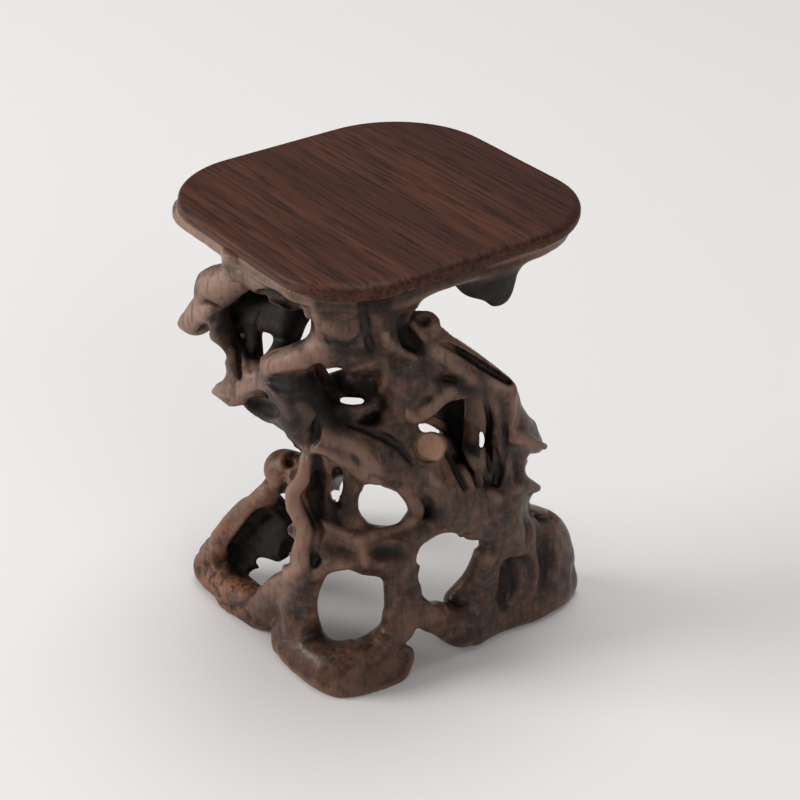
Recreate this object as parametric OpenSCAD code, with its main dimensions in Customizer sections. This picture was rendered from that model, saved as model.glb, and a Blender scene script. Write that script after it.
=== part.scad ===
/* [Top board] */
// Length of the board along its grain
board_len = 101; // [92:1:110]
// Width of the board across its grain
board_wid = 105; // [96:1:114]
// Thickness of the board
board_t = 4.5; // [4.5:0.5:7]
// Roundness of the board's upper and lower edge
edge_round = 1.8; // [1:0.1:2.2]
// Radius of the corner at the front
corner_front = 26; // [20:1:32]
// Radius of the corner at the left
corner_left = 30; // [20:1:36]
// Radius of the corner at the back
corner_back = 33; // [20:1:38]
// Radius of the corner at the right
corner_right = 28; // [18:1:34]

/* [Apron] */
// Thickness of the apron under the board
apron_t = 6.5; // [6.5:0.5:9]
// Height of the sloped underside, up to the bead
belly_t = 4; // [3.5:0.25:5.25]
// Height over which the bead rounds back into the cove
bead_t = 1; // [0.6:0.1:1]
// How far the bead is drawn in from the board's edge
bead_in = 0.5; // [0:0.1:1.5]
// How far the cove above the bead is drawn in from the board's edge
cove_in = 3; // [2:0.25:5]
// How far the flat of the underside is drawn in from the board's edge
under_in = 14; // [10:0.5:15]
// Radius of the apron's own corner at the left
apron_left = 22; // [16:1:28]
// Radius of the apron's own corner at the right
apron_right = 32; // [20:1:36]

/* [Carved frame] */
// Length of the block that the frame is carved to, along X
frame_len = 100; // [94:1:106]
// Width of the block that the frame is carved to, along Y
frame_wid = 102; // [96:1:108]
// Height of the carved frame, floor to apron
frame_h = 129; // [120:1:140]

/* [Dowels] */
// Diameter of the dowels between two limbs
limb_dowel_d = 3; // [2:0.2:3.4]
// Length of the dowels between two limbs
limb_dowel_len = 9; // [7:0.5:11]
// Diameter of the dowels between a post and the apron
post_dowel_d = 8; // [6:0.5:10]
// Length of the dowels between a post and the apron
post_dowel_len = 14; // [10:0.5:16]
// Diameter of the dowels between board and apron
board_dowel_d = 4; // [3:0.5:6]
// Depth of a board dowel in the board and in the apron
board_dowel_in = 3; // [2:0.25:3.5]
// Radius of the ring of board dowels
board_dowel_ring = 34; // [31:0.5:37]
// Clearance all round a dowel
fit = 0.15; // [0.05:0.05:0.3]

/* [Hidden] */

// The carving plan is drawn on a block of this size and laid over the frame's own block
plan_len = 100;
plan_wid = 102;
plan_h = 129;

// Pieces that hang from the apron's edge, planned on a board of this size
HUNG = ["apron_skirt", "apron_drop"];
hung_len = 100;
hung_wid = 104;

apron_z = frame_h;
bead_z = apron_z + belly_t;
board_z = apron_z + apron_t;
top_z = board_z + board_t;
belly_power = 2.2;
corner_steps = 9;
limb_steps = 3;
limb_sides = 12;
spur_power = 6;
post_r = 14.5;
board_dowels_n = 4;

heart = "#3b2219";
dark = "#2e1a14";
pale = "#6e4a32";
grain = "#8a6544";

// Each limb: its name, the side that its spurs point to, how flat it is towards that side,
// how far its spurs lean along it, and its route on the plan as [x, y, z, radius], with the
// spur's length after that where it has one.
// A limb is scribed to the limbs above it in this list.
LIMBS = [
    ["right_foot", [1, 0, 0], 0.58, 0, [
        [38.5, 29, 0, 22], [38.5, 29, 5, 22.5], [38.3, 30, 11, 21.5], [38.5, 32, 18, 18],
        [38.8, 33, 24, 14.5], [39, 33, 29, 10], [39, 33, 32, 5]
    ]],
    ["trunk", [0.8, -0.6, 0], 1, 0, [
        [22, -40, 86, 7.5], [26, -33, 78, 11], [31, -21, 72.5, 9.8, 1], [37, -10, 63.5, 8.6, 1],
        [41, 0, 53.5, 9.2], [42, 11, 43, 9.2], [41.5, 22, 33, 8.6], [41, 29, 25, 7]
    ]],
    ["neck_post", [0.5, -0.85, 0], 1, 0, [
        [28, -26, 132, 22], [28, -26, 126, 18], [28, -26, 120, 15.2, 2.5], [28, -27, 114, 13.8, 1],
        [28, -27, 108.5, 12.2], [28, -27, 105.5, 9]
    ]],
    ["sill", [0, 0, 1], 1, 0, [
        [11, -45, 5, 5], [18, -46, 4.5, 7.5], [28, -45.5, 4.5, 8], [37, -43, 5, 8.4],
        [42, -36.5, 5.5, 8.4], [42.8, -27, 6.5, 7.6], [43.5, -20, 8, 4.8]
    ]],
    ["pouch_sole", [0, 0, 1], 1, 0, [
        [-39.5, -44, 5, 3.2], [-32.5, -45.5, 4.5, 6], [-18, -46, 4, 7], [-5, -46, 5, 6.6],
        [3, -45, 8, 5.4], [7.5, -43, 9.5, 3]
    ]],
    ["side_strand", [1, 0, 0], 1, 0, [
        [30, -24, 110, 6.5], [36, -17, 102, 8], [37, -14.5, 93, 8.6], [33.5, -17.5, 83, 7.2],
        [31.5, -20, 74, 7]
    ]],
    ["spur_arm", [0, 0.7, 0.7], 1, 1.1, [
        [36.6, -15.6, 98.5, 5], [39.8, -10.5, 104.3, 5.4], [42.4, -4, 103.8, 5.8], [44, 3, 97.5, 6.2],
        [44, 11, 88.5, 6.6], [43.8, 16, 78.5, 6], [43.8, 17.5, 69, 6.2, 9], [43.8, 17.5, 62.5, 6],
        [43.6, 18, 54.5, 6.4, 7], [43.4, 15, 44, 7]
    ]],
    ["apron_skirt", [0, -1, 0], 0.8, 0, [
        [-15, -43, 132, 3.5], [-6, -45, 129, 5], [7, -45, 128, 5.5], [20, -44, 128.5, 5.5],
        [31, -39, 129, 5]
    ]],
    ["apron_drop", [1, 0, 0], 0.5, 0, [
        [42, 9.5, 132, 13.7], [42.3, 10, 128.5, 12], [42.8, 12.3, 122.5, 6.8], [43, 13.3, 118.3, 4],
        [43, 13.5, 116.6, 2.4]
    ]],
    ["cross_limb", [0, 0, -1], 1, -0.7, [
        [-24.5, -46.3, 76, 1.2], [-19, -46, 79, 2.6], [-15, -46, 81.5, 3.2, 3.5], [-8, -45.5, 85, 3.8],
        [-1, -45.5, 89.5, 4.2], [8, -45, 98, 4.8], [18, -43.5, 105, 5.2], [25, -39, 110.5, 5.4],
        [27.5, -32, 113.5, 5.2]
    ]],
    ["front_strand", [0, -1, 0], 0.8, 0, [
        [17, -43.5, 104, 5.5], [18.5, -43, 97, 9], [20, -42, 90, 9.8], [26, -36, 80, 9]
    ]],
    ["under_strand", [0, -1, 0], 1, 0, [
        [-4.5, -45.5, 87.2, 3.2], [-2.5, -43, 81, 3.6], [6, -42, 82, 4], [18, -41, 86, 5]
    ]],
    ["rope_leg", [0, -1, 0], 1, 0, [
        [25.5, -35, 74.5, 4.2], [22.5, -43, 71.5, 3.8], [22, -45.8, 62, 3.5], [24.5, -46, 53, 4.1],
        [26, -45.5, 44, 4.5], [21.5, -46, 33.5, 3.9], [12, -46, 23, 4.1], [1, -46, 8, 4.4]
    ]],
    ["knob_arm", [0, -1, 0], 1, 0, [
        [-6, -35.5, 132, 5.4], [-7, -38, 125.5, 5.2], [-12.5, -43.5, 119.5, 5.4],
        [-20, -45.5, 114, 6.8], [-24, -46, 107.5, 5], [-28, -46, 102, 5.4], [-33.5, -46.5, 97, 4.4],
        [-41.5, -47, 93.3, 1.4]
    ]],
    ["knob_blade", [0, -1, 0], 1.2, 0, [
        [-22, -46, 107, 4.4], [-17.5, -46, 101, 4.2], [-11.5, -46, 94.5, 3.8], [-9.6, -46, 89.5, 3.8],
        [-8, -45.7, 84.4, 3.4]
    ]],
    ["hollow_wall", [0, -1, 0], 0.4, 0, [
        [-16, -30, 132, 13], [-17, -30, 122, 14], [-19, -31, 113, 14.5], [-19.5, -33, 104, 12.5],
        [-17, -36.5, 97, 7], [-10.5, -41, 92, 4.2], [3, -45.3, 93.4, 3.6]
    ]],
    ["hollow_post", [0, -1, 0], 0.8, 0, [
        [6.5, -28.5, 132, 8], [4, -30, 118, 6], [0, -32, 107.5, 4.8], [3, -37, 100, 4.2],
        [9, -44.5, 99, 4.2]
    ]],
    ["curl_knob", [1, 0, 0], 0.8, 0, [
        [42.6, -4, 103.5, 4.2], [41, -7.8, 110.5, 4.8], [39.2, -12.3, 117, 4.2],
        [38.9, -13, 119.3, 2.4]
    ]],
    ["slot_limb", [0, 0.7, 0.7], 1, 0, [
        [43.4, 0.5, 100.3, 3.2], [36, 0, 103, 3.2], [33, 6, 98, 3.2], [34, 14, 90.5, 3.2],
        [43.5, 12, 87.5, 3.2]
    ]],
    ["inner_limb", [0, 0, 1], 1, 0, [
        [40.5, 4, 49.5, 5.5], [31, 13, 53, 8.5], [26, 14.5, 63, 10], [26.5, 12, 76, 9], [30, 8, 88, 7],
        [33.5, 4, 100, 4]
    ]],
    ["cut_stub", [0, 0, 1], 1, 0, [
        [28, 9, 60, 3.8], [33, 1, 67, 3.9], [40, -9.4, 75.3, 4.2]
    ]],
    ["back_post", [-1, 0, 0], 1, 0, [
        [-24, 22, 132, 15], [-24, 22, 124, 10.5], [-21, 18, 112, 8, 2], [-11, 8, 98, 7.5],
        [4, -4, 87, 7.5], [25, -23, 75, 6.5]
    ]],
    ["back_leg", [0, 1, 0], 1, 0, [
        [26, -21, 69, 6.5], [14, -13, 62, 6], [-2, -8, 53, 5.5], [-18, -5, 40, 5.5, 1],
        [-30, -2, 24, 6], [-37, -1, 8, 8], [-37, -1, 0, 9]
    ]],
    ["stretcher", [0, 0, 1], 1, 0, [
        [25, -46, 50.5, 4], [31, -39, 47.5, 6], [36, -30, 43.5, 7.8], [40, -20, 42.5, 7.6],
        [41, -4, 48, 7]
    ]],
    ["arch_post", [0.8, -0.6, 0], 1, 0, [
        [31.5, -28, 74.5, 4], [30.5, -32, 65, 3.2], [31.5, -33.5, 56, 3.6], [35, -31.5, 46, 4.4]
    ]],
    ["throat_limb", [0, 0, 1], 1, 0, [
        [19.5, -41.5, 91.5, 3.6], [17, -33.5, 92, 4.4], [18.5, -25.5, 91, 4.8], [25, -21, 92.5, 4.6],
        [37, -14.5, 94.5, 4]
    ]],
    ["arch_wall", [0, -1, 0], 1, 0, [
        [27, -31, 72, 4], [23.5, -36.5, 66, 4], [23.5, -37.5, 58, 4], [30.5, -39, 51, 4]
    ]],
    ["pouch_rib", [0, -1, 0], 1, 0, [
        [22, -45.5, 63.5, 3.2], [13, -40, 64, 4.4], [6.5, -38, 61, 5.2], [1, -40.5, 51.5, 4],
        [-8.5, -43.5, 40, 3.7], [-21, -45, 23.5, 4], [-31.5, -45.5, 10.5, 4.6], [-33, -45, 4.5, 4.8]
    ]],
    ["pouch_wall", [0, -1, 0], 0.45, 0, [
        [-2.5, -41.7, 47, 4], [-4.5, -37, 41, 7.5], [-6, -36, 32, 10.5], [-16, -36.5, 20, 8.5],
        [-24.5, -39, 11, 6.2], [-27, -44.5, 4, 4.6]
    ]],
    ["sill_left_post", [0, -1, 0], 1, 0, [
        [23.5, -45.5, 38, 5.4], [23.5, -42.5, 31, 6.8], [21, -43, 20, 6.4], [20, -46, 6, 6.4]
    ]],
    ["sill_right_post", [1, 0, 0], 1, 0, [
        [43.5, -26, 9, 5.4], [44, -23, 18, 5.6], [43.5, -22, 27, 5.6], [40, -22, 42, 5.4]
    ]],
    ["toe_limb", [0, 0, 1], 1, 0, [
        [44, -22.3, 23, 3.8], [44.5, -14, 17, 4.8], [44.6, -4, 9.5, 5.8], [44.6, 4, 6.5, 6.8],
        [42, 16, 7, 6.5]
    ]],
    ["right_post", [1, 0, 0], 1, 0, [
        [43, 11, 37, 4.6], [43, 11.5, 30, 4.4], [43.5, 10, 22, 4.6], [44.8, 3.5, 8.5, 4.6]
    ]]
];

// Each joint: the limb, which of its ends (0 or 1), and the piece that the end is scribed to
JOINTS = [
    ["neck_post", 0, "apron"], ["apron_drop", 0, "apron"], ["knob_arm", 0, "apron"],
    ["hollow_wall", 0, "apron"], ["hollow_post", 0, "apron"], ["back_post", 0, "apron"],
    ["side_strand", 0, "neck_post"], ["cross_limb", 1, "neck_post"],
    ["front_strand", 0, "cross_limb"], ["knob_blade", 1, "cross_limb"],
    ["hollow_wall", 1, "cross_limb"], ["hollow_post", 1, "cross_limb"],
    ["under_strand", 0, "cross_limb"], ["throat_limb", 0, "front_strand"],
    ["under_strand", 1, "front_strand"], ["throat_limb", 1, "side_strand"],
    ["spur_arm", 0, "side_strand"], ["knob_blade", 0, "knob_arm"], ["front_strand", 1, "trunk"],
    ["side_strand", 1, "trunk"], ["rope_leg", 0, "trunk"], ["arch_post", 0, "trunk"],
    ["arch_wall", 0, "trunk"], ["stretcher", 1, "trunk"], ["inner_limb", 0, "trunk"],
    ["spur_arm", 1, "trunk"], ["right_post", 0, "trunk"], ["back_post", 1, "trunk"],
    ["back_leg", 0, "trunk"], ["trunk", 1, "right_foot"], ["toe_limb", 1, "right_foot"],
    ["curl_knob", 0, "spur_arm"], ["slot_limb", 0, "spur_arm"], ["slot_limb", 1, "spur_arm"],
    ["inner_limb", 1, "slot_limb"], ["cut_stub", 0, "inner_limb"], ["stretcher", 0, "rope_leg"],
    ["pouch_rib", 0, "rope_leg"], ["sill_left_post", 0, "rope_leg"], ["rope_leg", 1, "pouch_sole"],
    ["pouch_rib", 1, "pouch_sole"], ["pouch_wall", 1, "pouch_sole"], ["pouch_wall", 0, "pouch_rib"],
    ["arch_post", 1, "stretcher"], ["arch_wall", 1, "stretcher"],
    ["sill_right_post", 1, "stretcher"], ["sill_left_post", 1, "sill"],
    ["sill_right_post", 0, "sill"], ["toe_limb", 0, "sill_right_post"],
    ["right_post", 1, "toe_limb"]
];

function unit(v) = v / norm(v);
function xyz(p) = [p[0], p[1], p[2]];
function place(name) = [for (i = [0 : len(LIMBS) - 1]) if (LIMBS[i][0] == name) i][0];
function limb(name) = LIMBS[place(name)];

// A point of the plan laid over the frame's block, or hung from the board's edge
function spur(p) = len(p) > 4 ? p[4] : 0;
function laid(p) = [
    p[0] * frame_len / plan_len, p[1] * frame_wid / plan_wid, p[2] * frame_h / plan_h, p[3], spur(p)
];
function hung(p) = [
    p[0] * board_len / hung_len, p[1] * board_wid / hung_wid, p[2] + frame_h - plan_h, p[3], spur(p)
];
function hangs(l) = len([for (name = HUNG) if (name == l[0]) name]) > 0;
function route(l) = [for (p = l[4]) hangs(l) ? hung(p) : laid(p)];

// Smooth curve through the points p, in n steps a span
function between(a, b, c, d, t) =
    b + 0.5 * t * (c - a + t * (2 * a - 5 * b + 4 * c - d + t * (3 * (b - c) + d - a)));
function curve(p, n) = [
    for (i = [0 : len(p) - 2])
        for (k = [0 : n - 1])
            between(p[max(i - 1, 0)], p[i], p[i + 1], p[min(i + 2, len(p) - 1)], k / n),
    p[len(p) - 1]
];

// Direction of the curve c at its step i; at its ends, that of the route p
function heading(c, p, i) =
    i == 0 ? unit(xyz(p[1] - p[0]))
    : i == len(c) - 1 ? unit(xyz(p[len(p) - 1] - p[len(p) - 2]))
    : unit(xyz(c[i + 1] - c[i - 1]));

// One cross section: a flattened round with a spur towards the side n
function section(c, t, side, flat, lean) =
    let (n = unit(side - (side * t) * t), b = cross(t, n))
    [for (j = [0 : limb_sides - 1])
        let (a = 360 * j / limb_sides, s = c[4] * pow(max(cos(a), 0), spur_power))
        xyz(c) + n * (cos(a) * c[3] * flat + s) + b * sin(a) * c[3] + t * lean * s];

// Keeps a point on or above the floor
function held(p) = [p[0], p[1], max(p[2], 0)];

function sections(l) =
    let (p = route(l), c = curve(p, limb_steps))
    [for (i = [0 : len(c) - 1])
        [for (q = section(c[i], heading(c, p, i), l[1], l[2], l[3])) held(q)]];

// Whether two limbs come so close that one is scribed to the other
function reach(p) = p[3] + p[4];
function meet(a, b) =
    max([for (p = curve(route(a), limb_steps), q = curve(route(b), limb_steps))
        reach(p) + reach(q) - norm(xyz(p - q))]) > 0;
function at_apron(l) = max([for (p = route(l)) p[2] + p[3]]) > apron_z;

// Where a limb ends, which way it points there and how thick it is
function end_at(l, e) = let (p = route(l)) xyz(p[e * (len(p) - 1)]);
function end_way(l, e) =
    let (p = route(l), n = len(p) - 1)
    e == 0 ? unit(xyz(p[0] - p[1])) : unit(xyz(p[n] - p[n - 1]));
function heads_post(j) = let (p = limb(j[0])[4]) p[j[1] * (len(p) - 1)][3] > post_r;

function mean(p) = [for (k = [0 : 2]) [for (q = p) q[k]] * [for (q = p) 1 / len(p)]];

// Solid through a stack of rings that each have the same number of points
module through(rings) {
    m = len(rings[0]);
    n = len(rings);
    low = n * m;
    points = concat([for (r = rings) each r], [mean(rings[0]), mean(rings[n - 1])]);
    sides = [
        for (i = [0 : n - 2])
            for (j = [0 : m - 1])
                let (k = (j + 1) % m)
                each [
                    [i * m + j, (i + 1) * m + j, (i + 1) * m + k],
                    [i * m + j, (i + 1) * m + k, i * m + k]
                ]
    ];
    ends = [
        for (j = [0 : m - 1])
            let (k = (j + 1) % m)
            each [[low, j, k], [low + 1, (n - 1) * m + k, (n - 1) * m + j]]
    ];
    polyhedron(points, concat(sides, ends));
}

// Stands its children at p, upright along the direction d
module facing(p, d) {
    translate(p)
        rotate([0, acos(d[2]), atan2(d[1], d[0])])
            children();
}

// The dowel of a joint, or with a gap all round it the hole for it
module dowel(j, gap) {
    d = heads_post(j) ? post_dowel_d : limb_dowel_d;
    h = heads_post(j) ? post_dowel_len : limb_dowel_len;
    facing(end_at(limb(j[0]), j[1]), end_way(limb(j[0]), j[1]))
        translate([0, 0, -h - gap])
            cylinder(d = d + 2 * gap, h = h + 2 * gap, $fn = 32);
}

// The holes for the dowels of every joint that a piece has
module dowel_holes(name) {
    for (j = JOINTS)
        if (j[0] == name || j[2] == name)
            dowel(j, fit);
}

// A limb scribed to the limbs above it in the list and to the apron, and drilled for its dowels
module piece(name) {
    l = limb(name);
    difference() {
        through(sections(l));
        for (i = [0 : 1 : place(name) - 1])
            if (meet(l, LIMBS[i]))
                through(sections(LIMBS[i]));
        if (at_apron(l))
            apron_block();
        dowel_holes(name);
    }
}

// Outline of the top: its own radius at each corner, the whole drawn in by `inset`
function corner(x, y, r, turn) = [
    for (k = [0 : corner_steps])
        let (a = turn + 90 * k / corner_steps)
        [x + r * cos(a), y + r * sin(a)]
];
function outline(inset, left, right) =
    let (
        x = board_len / 2 - inset,
        y = board_wid / 2 - inset,
        r = [for (c = [right, corner_back, left, corner_front]) c - inset]
    )
    concat(
        corner(x - r[0], y - r[0], r[0], 0),
        corner(r[1] - x, y - r[1], r[1], 90),
        corner(r[2] - x, r[2] - y, r[2], 180),
        corner(x - r[3], r[3] - y, r[3], 270)
    );
function level(inset, z, left, right) = [for (p = outline(inset, left, right)) [p[0], p[1], z]];
function board_level(inset, z) = level(inset, z, corner_left, corner_right);
function apron_level(inset, z) = level(inset, z, apron_left, apron_right);

// Dowels, or the holes for them, between board and apron
module ring_dowels(gap) {
    for (i = [0 : board_dowels_n - 1])
        rotate(360 * i / board_dowels_n)
            translate([board_dowel_ring, 0, board_z - board_dowel_in - gap])
                cylinder(d = board_dowel_d + 2 * gap, h = 2 * (board_dowel_in + gap), $fn = 32);
}

module top_board() {
    e = edge_round;
    color(heart)
        difference() {
            through(concat(
                [for (a = [0 : 30 : 90]) board_level(e * (1 - sin(a)), board_z + e * (1 - cos(a)))],
                [for (a = [0 : 30 : 90]) board_level(e * (1 - cos(a)), top_z - e * (1 - sin(a)))]
            ));
            ring_dowels(fit);
        }
}

module board_dowels() color(grain) ring_dowels(0);

module post_dowels() {
    color(grain)
        for (j = JOINTS)
            if (heads_post(j))
                dowel(j, 0);
}

module limb_dowels() {
    color(grain)
        for (j = JOINTS)
            if (!heads_post(j))
                dowel(j, 0);
}

// The apron before it is drilled: sloped underside, bead, and cove under the board
module apron_block() {
    through(concat(
        [for (k = [0 : 0.2 : 1])
            apron_level(bead_in + (under_in - bead_in) * pow(1 - k, belly_power), apron_z + belly_t * k)],
        [for (a = [30 : 30 : 90])
            apron_level(bead_in + (cove_in - bead_in) * (1 - cos(a)), bead_z + bead_t * sin(a))],
        [apron_level(cove_in, board_z)]
    ));
}

module apron() {
    color(dark)
        difference() {
            apron_block();
            ring_dowels(fit);
            dowel_holes("apron");
        }
}

module neck_post() color(dark) piece("neck_post");
module apron_skirt() color(dark) piece("apron_skirt");
module apron_drop() color(dark) piece("apron_drop");
module cross_limb() color(pale) piece("cross_limb");
module front_strand() color(dark) piece("front_strand");
module side_strand() color(dark) piece("side_strand");
module knob_arm() color(pale) piece("knob_arm");
module knob_blade() color(pale) piece("knob_blade");
module hollow_wall() color(dark) piece("hollow_wall");
module hollow_post() color(dark) piece("hollow_post");
module under_strand() color(dark) piece("under_strand");
module throat_limb() color(dark) piece("throat_limb");
module trunk() color(dark) piece("trunk");
module spur_arm() color(dark) piece("spur_arm");
module curl_knob() color(dark) piece("curl_knob");
module slot_limb() color(dark) piece("slot_limb");
module inner_limb() color(dark) piece("inner_limb");
module cut_stub() color(grain) piece("cut_stub");
module back_post() color(dark) piece("back_post");
module back_leg() color(dark) piece("back_leg");
module rope_leg() color(heart) piece("rope_leg");
module stretcher() color(heart) piece("stretcher");
module arch_post() color(dark) piece("arch_post");
module arch_wall() color(dark) piece("arch_wall");
module pouch_rib() color(pale) piece("pouch_rib");
module pouch_wall() color(dark) piece("pouch_wall");
module pouch_sole() color(pale) piece("pouch_sole");
module sill_left_post() color(dark) piece("sill_left_post");
module sill_right_post() color(dark) piece("sill_right_post");
module sill() color(pale) piece("sill");
module toe_limb() color(dark) piece("toe_limb");
module right_post() color(dark) piece("right_post");
module right_foot() color(dark) piece("right_foot");

top_board();
apron();
board_dowels();
post_dowels();
limb_dowels();
neck_post();
apron_skirt();
apron_drop();
cross_limb();
front_strand();
side_strand();
knob_arm();
knob_blade();
hollow_wall();
hollow_post();
under_strand();
throat_limb();
trunk();
spur_arm();
curl_knob();
slot_limb();
inner_limb();
cut_stub();
back_post();
back_leg();
rope_leg();
stretcher();
arch_post();
arch_wall();
pouch_rib();
pouch_wall();
pouch_sole();
sill_left_post();
sill_right_post();
sill();
toe_limb();
right_post();
right_foot();
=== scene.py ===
"""Carved hardwood stand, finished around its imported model.

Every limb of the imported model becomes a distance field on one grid. The fields are blended, carved
along gouge lines and split again into one closed mesh a limb, so that the joints run out of sight
under the carving while each limb stays a piece of its own.
"""

import math

import bmesh
import bpy
import numpy as np
import openvdb
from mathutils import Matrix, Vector


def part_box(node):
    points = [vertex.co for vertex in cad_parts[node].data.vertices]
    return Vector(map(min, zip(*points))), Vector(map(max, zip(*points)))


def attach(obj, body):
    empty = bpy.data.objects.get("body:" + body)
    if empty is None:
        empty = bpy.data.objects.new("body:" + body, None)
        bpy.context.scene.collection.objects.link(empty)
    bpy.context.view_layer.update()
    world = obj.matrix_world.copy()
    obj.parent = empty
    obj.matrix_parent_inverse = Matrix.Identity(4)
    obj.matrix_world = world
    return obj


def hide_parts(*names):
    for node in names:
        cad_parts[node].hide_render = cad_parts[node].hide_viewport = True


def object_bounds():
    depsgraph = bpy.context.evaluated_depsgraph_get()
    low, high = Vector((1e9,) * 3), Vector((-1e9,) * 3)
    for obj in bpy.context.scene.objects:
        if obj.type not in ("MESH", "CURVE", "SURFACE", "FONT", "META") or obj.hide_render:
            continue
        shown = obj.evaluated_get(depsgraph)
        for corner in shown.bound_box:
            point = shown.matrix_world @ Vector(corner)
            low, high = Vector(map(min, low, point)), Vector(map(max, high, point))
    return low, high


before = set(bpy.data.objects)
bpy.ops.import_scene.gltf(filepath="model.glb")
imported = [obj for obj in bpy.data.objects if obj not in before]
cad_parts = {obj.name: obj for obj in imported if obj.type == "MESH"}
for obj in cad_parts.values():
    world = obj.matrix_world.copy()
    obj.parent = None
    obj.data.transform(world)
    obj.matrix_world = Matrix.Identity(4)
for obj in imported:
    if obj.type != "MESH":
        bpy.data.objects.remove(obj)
CAD_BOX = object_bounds()

bl_info = {
    "name": "Carved Hardwood Stand",
    "version": (1, 0, 0),
    "blender": (4, 5, 0),
    "location": "3D View > Sidebar > Stand",
    "description": "Carves and finishes the pieces of a small openwork hardwood stand",
    "category": "Object",
}

MM = 0.001
BODY = "root"

BOARD = "top_board"
APRON = "apron"
DOWELS = ("board_dowels", "post_dowels", "limb_dowels")
CARVED = tuple(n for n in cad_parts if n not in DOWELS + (BOARD,))

# How light each limb's wood is, from -1 for the darkest to 1; the others take the plain value
PLAIN_TONE = 0.08
# The darkest values, on the walls and limbs deep in the hollows, the strands under the neck and the drop,
# are painted shade; the pale knob arm and cross limb are partly painted light from the left
TONE_AND_SHADE = {
    "apron": 0.15, "apron_drop": -1.0, "apron_skirt": 0.3, "knob_arm": 0.7, "knob_blade": 0.1,
    "cross_limb": 0.7, "hollow_wall": -0.9, "hollow_post": -0.9, "under_strand": -0.6,
    "pouch_wall": -0.9, "sill": 0.04, "rope_leg": 0.4, "cut_stub": 1.0, "inner_limb": -0.9,
    "stretcher": 0.12, "arch_wall": -0.7, "front_strand": -0.7, "neck_post": 0.0, "trunk": 0.2,
    "spur_arm": 0.2, "right_foot": 0.16,
}
# How much of the rough russet foot each limb has
RUSSET = {"pouch_rib": 0.8, "pouch_sole": 1.0, "pouch_wall": 0.2, "rope_leg": 0.15, "sill": 0.2,
          "neck_post": 0.15, "stretcher": 0.15}

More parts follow.
